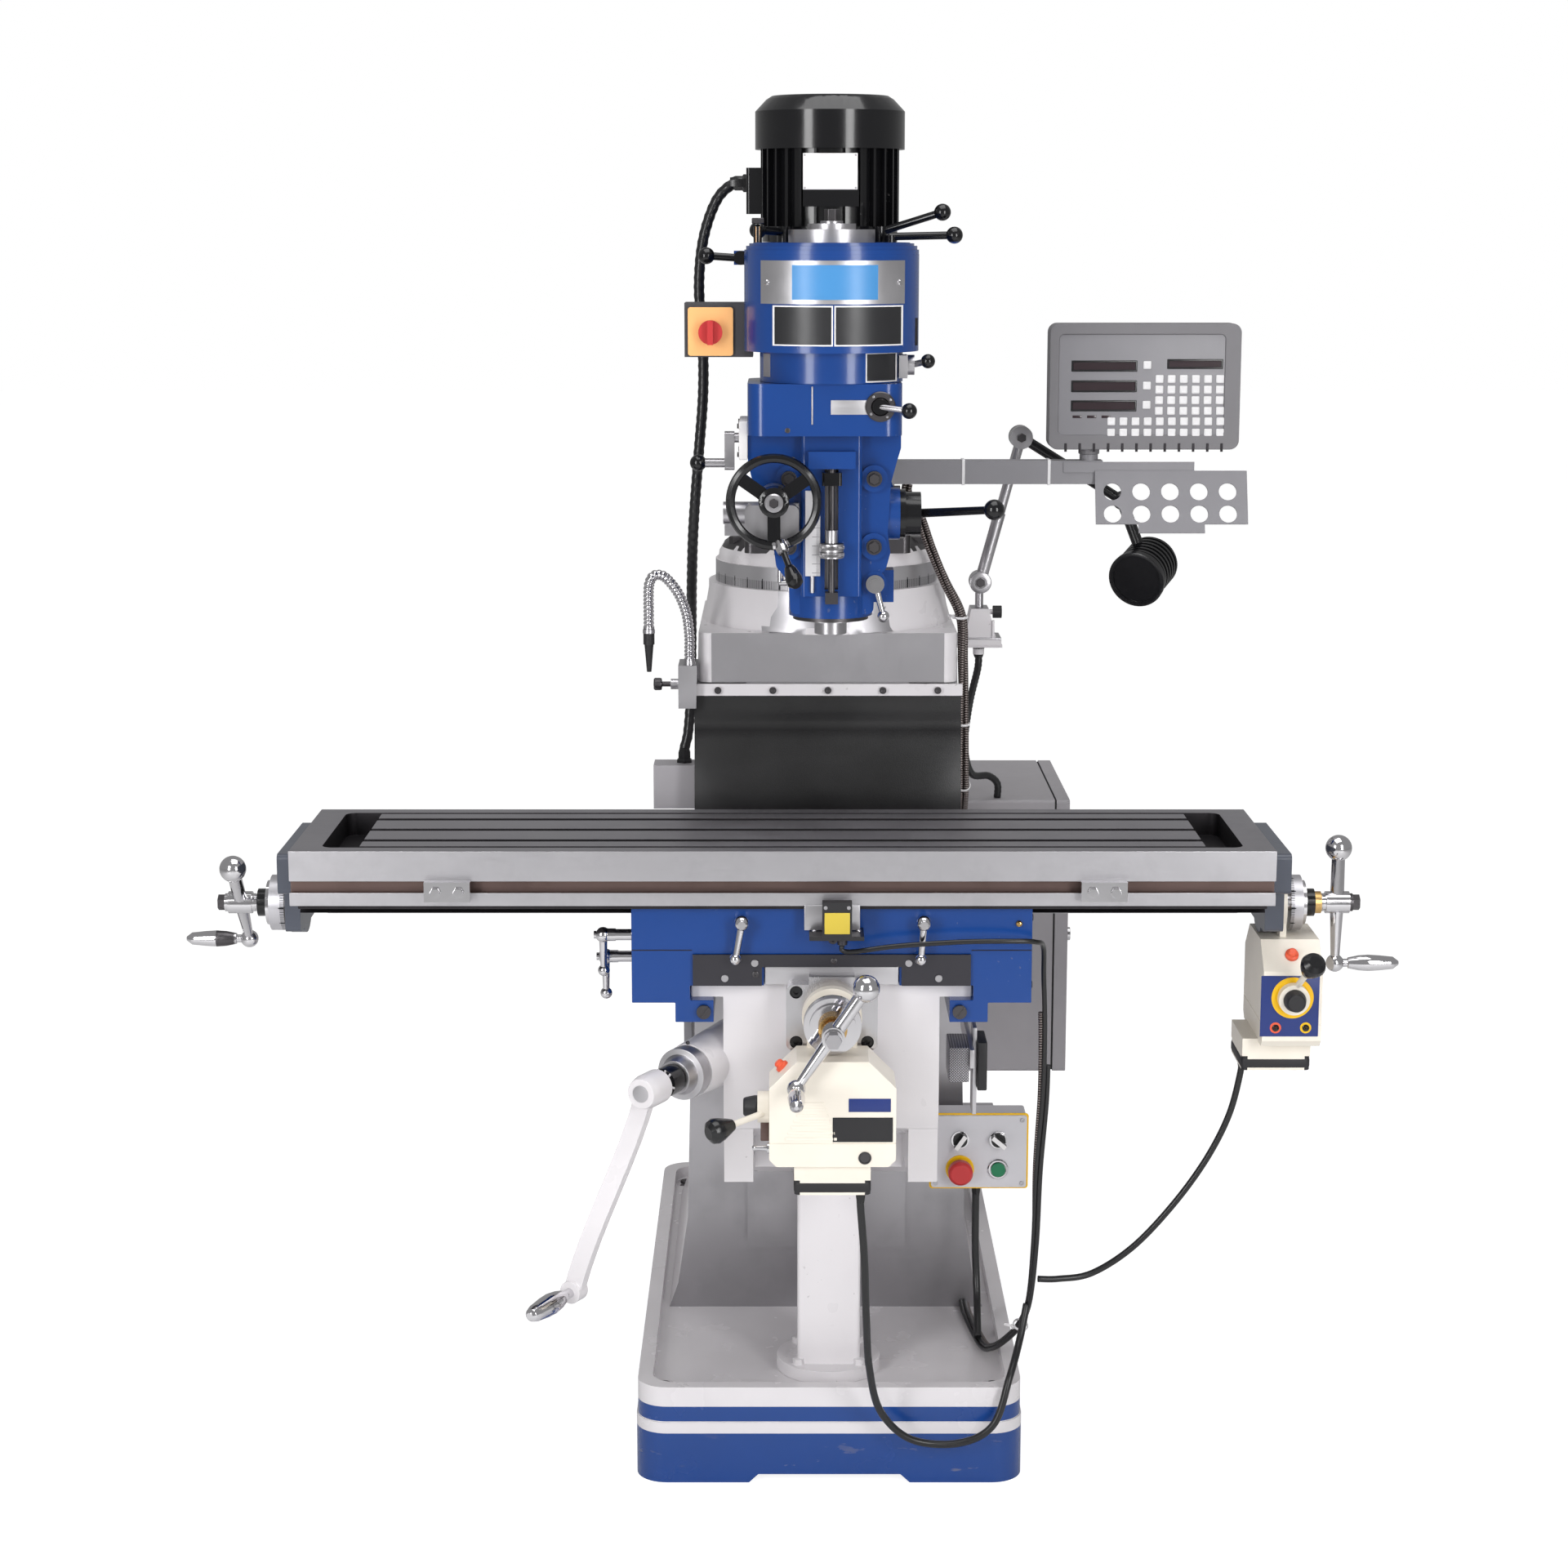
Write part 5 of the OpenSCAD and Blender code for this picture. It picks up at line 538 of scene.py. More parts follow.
def layCords():
    line = strand(routes["motorConduit"], cordPitch)
    radii = [0.0078 + 0.0004 * math.sin(i * 1.7) for i in range(len(line))]
    radii[:4] = [0.0095, 0.0095, 0.009, 0.0085]
    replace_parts(layCord("motorConduit", line, radii, cableBlack, 14, 0.0156, "frame"), "head_cables")
    # Three armoured hoses of the readout, gathered by white ties
    spots = {"A": (0.0047, 0), "B": (-0.0026, 0.0042), "C": (-0.0026, -0.0042)}
    for letter, aside in spots.items():
        line = strand(routes["readoutBundle"], cordPitch, aside, weave=0.6)
        layCord("readoutHose" + letter, line, [0.0040] * len(line), armour, 10, 0.0080, "frame")
    line = strand(routes["lampCable"], cordPitch)
    radii = [0.0056 + 0.0006 * (i % 2) for i in range(len(line))]
    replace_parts(layCord("lampLead", line, radii, cableBlack, 12, 0.0116, "frame"), "base_cables")
    line = strand(routes["boxCable"], cordPitch)
    layCord("boxLead", line, [0.0058] * len(line), cableBlack, 12, 0.0116, "frame")
    # Flexible leads from the frame to the knee, and one from the saddle to the table, laid in place on no
    # body
    flexible = {
        "crossFeedLead": ("crossFeedLoop", (0, 0), (0, 1), 0.0055, cableBlack, 12, 0.0),
        "limitSwitchLead": ("saddleBundle", (0, 0), (0, 1), 0.0036, cableBlack, 10, 0.0),
        "scaleHoseA": ("saddleBundle", (0.0052, 0.0032), (0.34, 1), 0.0036, armour, 10, 0.8),
        "scaleHoseB": ("saddleBundle", (-0.0054, 0.003), (0.40, 1), 0.0034, cableBlack, 10, 0.8),
    }
    kneeReach = (0, 0, 0.20), (0, 0, 0.50)
    for name, (route, aside, share, radius, finish, facets, weave) in flexible.items():
        line = strand(routes[route], cordPitch, aside, share, weave)
        radii = [radius] * len(line)
        layCord(name, line, radii, finish, facets, 2 * radius, "frame", "knee", reach=kneeReach)
    line = strand(routes["tableCable"], cordPitch)
    radii, tableReach = [0.0048] * len(line), ((0.33, 0, 0), (0.58, 0, 0))
    made = layCord("tableFeedLead", line, radii, cableBlack, 12, 0.0096, "saddle", "table", reach=tableReach)
    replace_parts(made, "table_feed_cable")


layCords()
print("cords ready")


# The active piece alone is selected, or its whole mesh in edit mode
def selectOnly(made):
    bpy.ops.object.select_all(action="DESELECT")
    bpy.context.view_layer.objects.active = made
    made.select_set(True)


def editAll():
    bpy.ops.object.mode_set(mode="EDIT")
    bpy.ops.mesh.select_all(action="SELECT")


def endEdit():
    bpy.ops.object.mode_set(mode="OBJECT")


# White ties: a thin strap round each bundle with its lock and cut tail
def makeTie(name, place, radius, way, body):
    way = Vector(way).normalized()
    rounds, sides = 20, 6
    bpy.ops.mesh.primitive_torus_add(
        major_radius=radius + 0.001, minor_radius=0.0011, major_segments=rounds, minor_segments=sides,
    )
    strap = bpy.context.object
    editAll()
    bpy.ops.transform.resize(value=(1, 1, 2.0))
    bpy.ops.mesh.select_all(action="DESELECT")
    bpy.ops.mesh.primitive_cube_add(size=1, location=(radius + 0.003, 0, 0), scale=(0.005, 0.006, 0.0055))
    bpy.ops.mesh.primitive_cube_add(
        size=1, location=(radius + 0.009, 0.004, 0), rotation=(0, 0, 0.5), scale=(0.014, 0.0012, 0.004),
    )
    endEdit()
    strap.name = name
    strap.data.transform(way.to_track_quat("Z", "Y").to_matrix().to_4x4())
    strap.data.transform(Matrix.Translation(Vector(place)))
    strap.data.materials.append(tieWhite)
    for poly in strap.data.polygons:
        poly.use_smooth = poly.index < rounds * sides
    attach(strap, body)


# A merged copy of a CAD node with its hard edges broken by a small bevel. Each rule gives a finish to the
# faces that its test picks by place and normal, in millimetres; drop picks the faces that are left out
def dress(node, finish, rules=(), bevel=1.0, drop=None):
    sharp, flat = 28, 0.9  # degrees
    made = bpy.data.objects.new(node + "Dressed", nodes[node].data.copy())
    bpy.context.scene.collection.objects.link(made)
    selectOnly(made)
    made.data.materials.clear()
    made.data.materials.append(finish)
    for other, _ in rules:
        made.data.materials.append(other)
    bpy.ops.mesh.customdata_custom_splitnormals_clear()
    editAll()
    bpy.ops.mesh.remove_doubles(threshold=0.00002)
    bpy.ops.mesh.dissolve_limited(angle_limit=math.radians(flat))
    endEdit()
    if drop:
        bpy.ops.object.mode_set(mode="EDIT")
        bpy.ops.mesh.select_mode(type="FACE")
        bpy.ops.mesh.select_all(action="DESELECT")
        endEdit()
        for poly in made.data.polygons:
            poly.select = bool(drop(poly.center * 1000, poly.normal))
        bpy.ops.object.mode_set(mode="EDIT")
        bpy.ops.mesh.delete(type="FACE")
        bpy.ops.mesh.select_mode(type="VERT")
        endEdit()
    for poly in made.data.polygons:
        centre, normal = poly.center * 1000, poly.normal
        poly.material_index = 0
        for number, (_, test) in enumerate(rules):
            if test(centre, normal):
                poly.material_index = number + 1
    if bevel:
        edge = made.modifiers.new("edge", "BEVEL")
        edge.width = bevel / 1000
        edge.segments = 2
        edge.limit_method = "ANGLE"
        edge.angle_limit = math.radians(sharp)
        edge.harden_normals = False
        edge.miter_outer = "MITER_ARC"
        edge.use_clamp_overlap = True
        bpy.ops.object.modifier_apply(modifier="edge")
    bpy.ops.object.shade_smooth_by_angle(angle=math.radians(sharp + 7))
    weighted = made.modifiers.new("weighted", "WEIGHTED_NORMAL")
    weighted.keep_sharp = True
    bpy.ops.object.modifier_apply(modifier="weighted")
    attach(made, bodyOf[node])
    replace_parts(made, node)
    return made


# Tests on a face's centre and normal, in millimetres
def facing(letter, sign, at, reach=0.6):
    axis = "xyz".index(letter)
    return lambda c, n: n[axis] * sign > 0.9 and abs(c[axis] - at) < reach


def within(x=(-9999, 9999), y=(-9999, 9999), z=(-9999, 9999)):
    return lambda c, n: all(low <= value <= high for value, (low, high) in zip(c, (x, y, z)))


def onAxis(at, way, low, high, reach=999, inner=0):
    start, axis = Vector(at), Vector(way).normalized()

    def test(c, n):
        step = (c - start).dot(axis)
        return low <= step <= high and inner <= (c - start - step * axis).length <= reach
    return test


down, ahead = (0, 0, -1), (0, -1, 0)
kneeAxis = (-math.sin(math.radians(28)), -math.cos(math.radians(28)), 0)
kneeRoot = (-140, -505, 655)
crossAxis = (0, -689, 743.1)
leftScrewEnd, rightScrewEnd = (-784, -487.5, 868.2), (659.4, -487.5, 868.2)
left, right, up = (-1, 0, 0), (1, 0, 0), (0, 0, 1)
studs = [(x, -489.8, z) for x in (-60, 60) for z in (1382, 1478)]
studFaces = [(darkSteel, within((x - 12, x + 12), (-491, -480.4), (z - 12, z + 12))) for x, _, z in studs]
crankBoltRules = [
    (blackEnamel, onAxis((x, -645, z), (0, 1, 0), 1, 9, 8.3)) for x in (-50, 50) for z in (703, 775)
]
stopDogs = [(chrome, within((x - 1, x + 65), (-700, -640.4), (890, 940))) for x in (-566, 345)]
selectorRules = [(chrome, within(y=(-266, -261))), (whitePlate, facing("y", -1, -282))]

# Each CAD node: its finish, the width of its broken edges in millimetres, and finishes for parts of it
finishes = {
    "base": (baseEnamel, 3, ()),
    "column": (whiteEnamel, 3, [(groundWay, within((-126, 126), (-173, -149.6)))]),
    "elevating_pedestal": (whiteEnamel, 2, ()),
    "electrical_cabinet": (greySheet, 1.5, [
        (satinSteel, within((235.5, 240.6), (150, 510), (440, 890))),
        (softBlack, within((240.2, 303), (199, 460), (690, 776))),
        (creamPlastic, within((240.2, 273), (199, 461), (520, 566))),
    ]),
    "cabinet_door": (greySheet, 1.5, [(chrome, within((406, 420)))]),
    "control_box": (paleFace, 1, [
        (yellowPlastic, within(y=(-258.4, -254.6))), (greySheet, within(y=(-204.2, 300))),
    ]),
    "coolant_selector": (blackPlastic, 0.8, selectorRules),
    "lamp_selector": (blackPlastic, 0.8, selectorRules),
    "emergency_stop": (redPlastic, 1.5, [(softBlack, within(y=(-273.8, -230)))]),
    "start_button": (greenPlastic, 0.8, ()),
    "lamp_lower_arm": (satinSteel, 0.6, ()),
    "lamp_head": (blackPlastic, 0.5, ()),
    "knee": (whiteEnamel, 3, [
        (groundWay, facing("z", 1, 778)), (groundWay, within((-200, -198), z=(756, 778))),
        (groundWay, within((198, 200), z=(756, 778))),
    ]),
    "elevating_screw": (satinSteel, 1, ()),
    "knee_crank": (whiteEnamel, 1, [
        (kneeDialFinish, onAxis(kneeRoot, kneeAxis, 131, 155.5, 60)),
        (satinSteel, onAxis(kneeRoot, kneeAxis, 155.6, 176, 60)),
        (blackEnamel, onAxis(kneeRoot, kneeAxis, 176.5, 206.6, 60)),
        (chrome, onAxis(kneeRoot, kneeAxis, 206.7, 217.5, 14)),
        (chrome, onAxis(kneeRoot, kneeAxis, 326.5, 500)),
    ]),
    "cross_feed_bracket": (groundPlate, 1, crankBoltRules),
    "cross_feed_crank": (chrome, 0, [
        (crossDial, onAxis(crossAxis, ahead, -2, 20.6, 60, 20)),
        (turnedSteel, onAxis(crossAxis, ahead, 19.5, 26.4, 60, 13)),
        (brass, onAxis(crossAxis, ahead, 26.4, 47, 21)),
        (satinSteel, onAxis(crossAxis, ahead, 91.2, 120, 13)),
    ]),
    "cross_feed_unit": (creamPlastic, 2.5, [(softBlack, within(z=(400, 527.9)))]),
    "cross_feed_lever": (creamPlastic, 0, [(blackPlastic, within(x=(-200, -133)))]),
    "cross_feed_dial": (softBlack, 0.8, ()),
    "cross_feed_button": (orangePlastic, 0.8, ()),
    "saddle": (blueEnamel, 1.5, [(groundWay, facing("z", 1, 890.1)), (groundWay, facing("z", 1, 879.1))]),
    "saddle_fittings": (wiperPlate, 0.5, [
        (satinSteel, within(y=(-628, -625.5))), (darkSteel, within((-192, 192), (-628, -620), (720, 757))),
        (darkSteel, within((-33, 45), (-677, -621), (855.5, 862.2))),
        (softBlack, within((-15, 28), (-677, -657), (862.4, 912))),
        (satinSteel, onAxis((6, -660, 898), (0, 1, 0), 0, 20, 4.5)),
    ]),
    "table_lock_left": (chrome, 0, ()), "table_lock_right": (chrome, 0, ()),
    "saddle_lock_front": (chrome, 0, ()), "saddle_lock_rear": (chrome, 0, ()),
    "table": (groundFront, 1.0, [
        (groundTop, facing("z", 1, 975.2)),
        # painted shade: the insides of the T-slots are painted near black
        (slotDark, within((-752, 614), (-636, -339), (937, 974.8))),
        (brownGroove, within(y=(-639.6, -625), z=(911, 937.4))),
        # painted shade: the table's lowest band, where it sits in the saddle, is painted near black
        (slotDark, within(z=(870, 896.5))),
    ]),
    "table_fittings": (bracketGrey, 1, stopDogs),
    "table_leadscrew": (chrome, 0, [
        (leftTableDial, onAxis(leftScrewEnd, left, -2, 22.6, 60, 20)),
        (rightTableDial, onAxis(rightScrewEnd, right, -2, 18.6, 60, 20)),
        (blackEnamel, onAxis(leftScrewEnd, left, 28.2, 42.6, 21)),
        (blackEnamel, onAxis(rightScrewEnd, right, 24.2, 38.4, 21)),
        (brass, within((696, 708))), (darkSteel, within((-900, -871.5))),
        (darkSteel, within((750.5, 800), z=(855, 882))),
    ]),
    "table_feed_unit": (creamPlastic, 2.5, [(softBlack, within(z=(400, 653)))]),
    "table_feed_lever": (creamPlastic, 0, [(blackPlastic, within(y=(-700, -621)))]),
    "table_feed_dial": (softBlack, 0.8, ()),
    "table_feed_button": (orangePlastic, 0.8, ()),
    "turret": (whiteEnamel, 2, [
        (turretRing, onAxis((0, 20, 1200), up, 78, 113.5, 999, 173)),
        (darkSteel, onAxis((0, 20, 1200), up, 133.5, 200, 999, 135)),
    ]),
    "ram": (whiteEnamel, 2, ()),
    "knuckle": (satinSteel, 1.5, [(darkSteel, within((92.6, 120))), (darkSteel, within((-120, -92.6)))]),
    "head": (blueEnamel, 2, studFaces + [
        (satinSteel, within((-155, -105), (-437, -385), (1390, 1441))),
        (chrome, within((-80, -60.6), (-436, -424), (1319, 1346))),
        (darkSteel, within(z=(1270, 1280.3))),
        # painted shade: the slot down the front of the head is painted near black
        (slotDark, within((-9.6, 9.6), (-489.6, -472), (1321, 1493))),
    ]),
    "belt_housing": (blueEnamel, 1.2, [
        (satinSteel, within((-62, 62), (-495, -365), (1805.6, 1840))),
        (blackEnamel, within((74, 190), (-415, -365), (1805.6, 1840))),
        (blackEnamel, within((-112, -96), (-429, -411), (1805.6, 1840))),
        (switchGrey, within((-210, -124), (-426, -350), (1640, 1725))),
        (peachPanel, facing("y", -1, -425)),
        (satinSteel, within((93.5, 106.4), (-481, -439), (1617, 1651))),
        # painted shade: a small slot on the belt housing's right side is painted near black
        (slotDark, within((111.5, 124), (-471, -451.6), (1662, 1702))),
    ]),
    "motor": (blackEnamel, 0.8, ()),
    "quill": (turnedSteel, 0.8, [(blackEnamel, within(y=(-530, -475)))]),
    "spindle": (turnedSteel, 1, [(darkSteel, within(z=(1834, 1900)))]),
    "quill_feed_lever": (blackEnamel, 0, ()),
    "fine_feed_handwheel": (blackEnamel, 0.6, [
        (chrome, onAxis((-71, -552, 1390.5), (0.3, -0.62, -0.72), -9, 13, 10)),
    ]),
    "quill_stop": (satinSteel, 0.4, [
        (darkSteel, onAxis((0, -507.5, 1300), up, 0, 200, 5.6)),
        (darkSteel, within((-10, 10), (-517, -489), (1300, 1322))),
        (travelScale, within((-37.4, -15.6), (-499, -489), (1341.6, 1463))),
    ]),
    "quill_lock": (chrome, 0, ()),
    "feed_crank": (satinSteel, 0, [(blackEnamel, within(x=(-204, -176.5)))]),
    "brake_lever": (blackEnamel, 0, ()), "motor_lock_left": (blackEnamel, 0, ()),
    "motor_lock_right": (blackEnamel, 0, ()),
    "range_lever": (blackEnamel, 0, [(satinSteel, within((105, 125)))]),
    "feed_knob": (blackEnamel, 0, [(satinSteel, within((76, 97), (-545, -520)))]),
    "drum_knob": (redPlastic, 0.6, ()),
    "dro_arm": (trayGrey, 0.6, ()),
    "dro_console": (consoleGrey, 2, ()),
}
for name, (finish, width, rules) in finishes.items():
    dress(name, finish, rules, width)


# The block that carries the gooseneck keeps its own form; its ribbed hose is made by makeGooseneck
def hosePlace(c, _):
    near = -284 < c.x < -199 and -212 < c.y < -175
    return near and ((c.x > -226 and c.z > 1171.6) or c.z > 1228.3)


dress("column_fittings", whiteEnamel, [
    (satinSteel, within((-260, -195), (-201, -120), (1100, 1172.2))),
    (greySheet, within((-275, -190), (-152, -90), (930, 1015))),
    (softBlack, within((-283, -261), (-212, -188), (1150, 1229))),
    (satinSteel, within((-242, -226.5), (-190, -170), (1130, 1150))),
    (darkSteel, within((214, 226), (20, 80), (1138, 1158))),
    (satinSteel, onAxis((245, 50, 1200), up, 30, 92, 18)),
    (softBlack, within((266.8, 283), (38, 62), (1210, 1234))),
], 0.6, drop=hosePlace)
print("nodes dressed")


# Selects faces of the piece in edit mode by a test on centre and normal, in millimetres
def pick(test):
    made = bpy.context.object
    bpy.ops.mesh.select_mode(type="FACE")
    bpy.ops.mesh.select_all(action="DESELECT")
    endEdit()
    for poly in made.data.polygons:
        poly.select = bool(test(poly.center * 1000, poly.normal))
    bpy.ops.object.mode_set(mode="EDIT")


# Ends a piece: its finish, its place, smooth shading, and the body that it rides on
def settle(name, finish, body, turn=None):
    made = bpy.context.object
    if bpy.context.mode != "OBJECT":
        endEdit()
    made.name = name
    if turn is not None:
        made.data.transform(turn)
    if not made.data.materials:
        made.data.materials.append(finish)
    selectOnly(made)
    bpy.ops.object.shade_smooth_by_angle(angle=math.radians(32))
    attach(made, body)
    return made


# A block from corner to corner in millimetres, its edges rounded; inset and sunk give its front a panel
def block(name, low, high, finish, body, rounding=1.5, front=None, inset=0, sunk=0, other=None):
    size = [(h - l) / 1000 for l, h in zip(low, high)]
    middle = [(h + l) / 2000 for l, h in zip(low, high)]
    bpy.ops.object.select_all(action="DESELECT")
    bpy.ops.mesh.primitive_cube_add(size=1, location=middle, scale=size)
    bpy.ops.object.transform_apply(location=True, rotation=True, scale=True)
    made = bpy.context.object
    made.data.materials.append(finish)
    editAll()
    bpy.ops.mesh.bevel(offset=rounding / 1000, segments=3, affect="EDGES", clamp_overlap=True)
    if front is not None:
        way = Vector(front)
        edge = max(Vector(c).dot(way) for c in (low, high))
        pick(lambda c, n: n.dot(way) > 0.99 and c.dot(way) > edge - 0.2)
        bpy.ops.mesh.inset(thickness=inset / 1000, depth=0)
        bpy.ops.mesh.inset(thickness=0.0004, depth=-sunk / 1000)
        made.data.materials.append(other)
        made.active_material_index = 1
        bpy.ops.object.material_slot_assign()
    return settle(name, finish, body)


# A turned piece: profile is pairs of radius and distance from the seat, grown ring by ring along the axis
def turned(name, at, axis, profile, finish, body, facets=32):
    bpy.ops.object.select_all(action="DESELECT")
    before = profile[0]
    bpy.ops.mesh.primitive_circle_add(vertices=facets, radius=before[0] / 1000, fill_type="NGON")
    made = bpy.context.object
    made.data.materials.append(finish)
    editAll()
    for now in profile[1:]:
        rise = (now[1] - before[1]) / 1000
        bpy.ops.mesh.extrude_region_move(TRANSFORM_OT_translate={"value": (0, 0, rise)})
        share = now[0] / before[0]
        if abs(share - 1) > 1e-6:
            bpy.ops.transform.resize(value=(share, share, 1), center_override=(0, 0, now[1] / 1000))
        before = now
    bpy.ops.mesh.select_all(action="SELECT")
    bpy.ops.mesh.normals_make_consistent(inside=False)
    endEdit()
    aimed = Vector(axis).to_track_quat("Z", "Y").to_matrix().to_4x4()
    return settle(name, finish, body, Matrix.Translation(Vector(at) / 1000) @ aimed)


# A further one of a piece, moved by millimetres, with its own mesh
def again(source, name, move, body=None):
    made = source.copy()
    made.data = source.data.copy()
    made.name = name
    bpy.context.scene.collection.objects.link(made)
    made.data.transform(Matrix.Translation(Vector(move) / 1000))
    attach(made, body or source.parent.name[5:])
    return made


# The same turned piece at several places on one face
def repeated(name, places, axis, profile, finish, body, facets):
    first = turned(name + "0", places[0], axis, profile, finish, body, facets)
    for number, place in enumerate(places[1:]):
        again(first, name + str(number + 1), Vector(place) - Vector(places[0]), body)


# Cap screws with a socket
def capScrews(name, places, axis, radius, height, finish, body):
    inner = radius * 0.52
    profile = [
        (radius, 0), (radius, height * 0.86), (radius * 0.9, height), (inner, height),
        (inner * 0.96, height * 0.3), (inner * 0.2, height * 0.18),
    ]
    repeated(name, places, axis, profile, finish, body, 18)


# Round-headed screws and rivets
def domes(name, places, axis, radius, height, finish, body, facets=16):
    profile = [
        (radius, 0), (radius * 0.96, height * 0.4), (radius * 0.7, height * 0.85), (radius * 0.2, height),
    ]
    repeated(name, places, axis, profile, finish, body, facets)


# Hexagon heads and nuts, by their width across flats
def hexHeads(name, places, axis, across, height, finish, body):
    radius = across / 2 / math.cos(math.pi / 6)
    profile = [(radius * 0.9, 0), (radius, height * 0.12), (radius, height * 0.86), (radius * 0.87, height)]
    repeated(name, places, axis, profile, finish, body, 6)


beltAxis = (0, -430)


# A plate bent round the belt housing: a strip at its left end, spun to its right end
def bentPlate(name, radius, thick, levels, reach, finish):
    start, end = (math.asin(x / radius) for x in reach)
    bpy.ops.object.select_all(action="DESELECT")
    bpy.ops.mesh.primitive_plane_add(size=1, location=(0, 0, 0))
    made = bpy.context.object
    corners = [(r, z) for z in levels for r in (radius, radius + thick)]
    for vertex, (r, z) in zip(made.data.vertices, corners):
        vertex.co = (beltAxis[0] + r * math.sin(start), beltAxis[1] - r * math.cos(start), z)
        vertex.co /= 1000
    editAll()
    pivot = (beltAxis[0] / 1000, beltAxis[1] / 1000, 0)
    bpy.ops.mesh.spin(steps=24, angle=start - end, center=pivot, axis=(0, 0, 1))
    bpy.ops.mesh.select_all(action="SELECT")
    bpy.ops.mesh.remove_doubles(threshold=0.00001)
    bpy.ops.mesh.normals_make_consistent(inside=False)
    return settle(name, finish, "head")


# Plates of the belt housing and the motor, all bare
def makePlates():
    shell, band = 122.9, 100.9
    bentPlate("brandPlate", shell, 1.6, (1722, 1781), (-98, 99), brushedPlate)
    bentPlate("brandField", shell + 1.5, 0.4, (1728, 1775), (-56, 62), skyField)
    for name, radius, levels, reach, innerReach in (
        ("speed", shell, (1665, 1720), (-82, 0), (-80, -2)),
        ("feed", shell, (1665, 1720), (2, 97), (4, 95)),
        ("quill", band, (1614, 1655), (46, 90), (48, 88.5)),
    ):
        innerLevels = (levels[0] + 2, levels[1] - 2)
        bentPlate(name + "PlateFrame", radius, 1.3, levels, reach, whitePlate)
        bentPlate(name + "Plate", radius + 1.2, 0.4, innerLevels, innerReach, blackPlate)
    bentPlate("leftTag", band, 1.2, (1620, 1652), (-95, -86), trayGrey)
    for name, reach in (("left", -91), ("right", 93)):
        radius = shell + 1.5
        lean = math.asin(reach / radius)
        place = (radius * math.sin(lean), beltAxis[1] - radius * math.cos(lean), 1751)
        domes(name + "PlateScrew", [place], (math.sin(lean), -math.cos(lean), 0), 4.4, 2.6, chrome, "head")
    corners = (-40, -350.1, 1879), (38, -348.3, 1930)
    block("motorPlate", *corners, whitePlate, "head", 0.5, ahead, 1.6, 0.3, whitePlate)
    corners = [(x, -349.8, z) for x in (-37.5, 35.5) for z in (1881.5, 1927.5)]
    domes("motorRivet", corners, ahead, 1.7, 1.2, satinSteel, "head", 10)


# Head: strip, knob flange, weld bead, the plate on its flank, plugs, nuts and the stop's knurled rings
def makeHeadTrim():
    block("feedStrip", (-2, -523.6, 1570), (51, -522.2, 1590), brushedPlate, "head", 0.4)
    block("weldBead", (-29, -523.4, 1556), (-26.6, -521.6, 1609), satinSteel, "head", 0.9)
    ring = [(21, 0), (21, 3.4), (19.6, 4.4), (13, 4.4), (12, 3), (11.6, 0.4)]
    turned("knobFlange", (67, -522.2, 1581), ahead, ring, darkSteel, "head")
    spots = [(67 + 16.6 * math.cos(a), -526.4, 1581 + 16.6 * math.sin(a)) for a in (0.6, 2.2, 3.8, 5.3)]
    domes("knobFlangeScrew", spots, ahead, 2.1, 1.1, satinSteel, "head", 10)
    block("flankPlate", (-130.5, -478, 1504), (-118.2, -352, 1558), whitePlate, "head", 1.4)
    corners = [(-130.4, y, z) for y in (-470, -360) for z in (1511, 1551)]
    capScrews("flankScrew", corners, left, 3.6, 2.6, darkSteel, "head")
    capScrews("headPlug", [(-62, -522.1, 1548), (-55, -522.1, 1508)], ahead, 3.6, 0.9, darkSteel, "head")
    hexHeads("studNut", studs, ahead, 15, 6, darkSteel, "head")
    rim = [(12.5, 0), (13, 1.2), (13, 4.6), (11, 6)]
    turned("wheelWasher", (-81, -562.6, 1451), ahead, rim, satinSteel, "fine_feed_handwheel")
    hexHeads("wheelNut", [(-81, -568.4, 1451)], ahead, 12, 6, darkSteel, "fine_feed_handwheel")
    hexHeads("lugBolt", [(-104, -410, 1831)], up, 17, 8, darkSteel, "head")
    knurl = [(17.6, 0), (17.9, 0.8), (17.9, 4.4), (17.6, 5.2)]
    for number, level in enumerate((1371, 1381)):
        turned("stopKnurl" + str(number), (0, -507.5, level), up, knurl, knurledSteel, "head", 40)


# Readout: three long windows and one short, tabs below them, rows of white keys, and slots in its rim
# painted as dark bars of shade
def makeConsole():
    y, body = -126.5, "dro_console"
    for number, (start, end, low, high) in enumerate((
        (369, 469, 1611, 1628), (369, 469, 1580, 1598), (369, 469, 1551, 1568), (514, 599, 1615, 1630),
    )):
        corners = (start, y - 1.6, low), (end, y + 0.5, high)
        block("displayWindow" + str(number), *corners, blackPlastic, body, 1.2, ahead, 1.6, 0.7, darkLens)
    corners = (478, y - 2.6, 1615), (490, y + 0.5, 1627)
    key = block("key0", *corners, keyWhite, body, 1.6, ahead, 1.6, 0.35, keyWhite)
    spots = [(484, 1590), (484, 1561)]
    spots += [(503 + 18.4 * i, z) for z in (1600, 1584, 1568) for i in range(6)]
    spots += [(503 + 18.6 * i, 1552) for i in range(6)]
    spots += [(431 + 18.44 * i, z) for z in (1536, 1519) for i in range(10)]
    for number, (x, z) in enumerate(spots):
        again(key, "key" + str(number + 1), (x - 484, 0, z - 1621))
    block("consoleInlay", (350.5, y - 0.5, 1515.5), (601.5, y + 0.3, 1666.5), trayGrey, body, 0.2)
    for number in range(3):
        start = 372 + number * 22
        block("displayTab" + str(number), (start, y - 1.2, 1541), (start + 14, y, 1545), darkLens, body, 0.4)
    # painted shade: near-black bars stand for the slots in the console's rim
    slot = block("rimSlot0", (360, -129.6, 1490), (364, -128.8, 1503), slotDark, body, 0.3)
    for number in range(1, 12):
        again(slot, "rimSlot" + str(number), (number * 21.6, 0, 0))


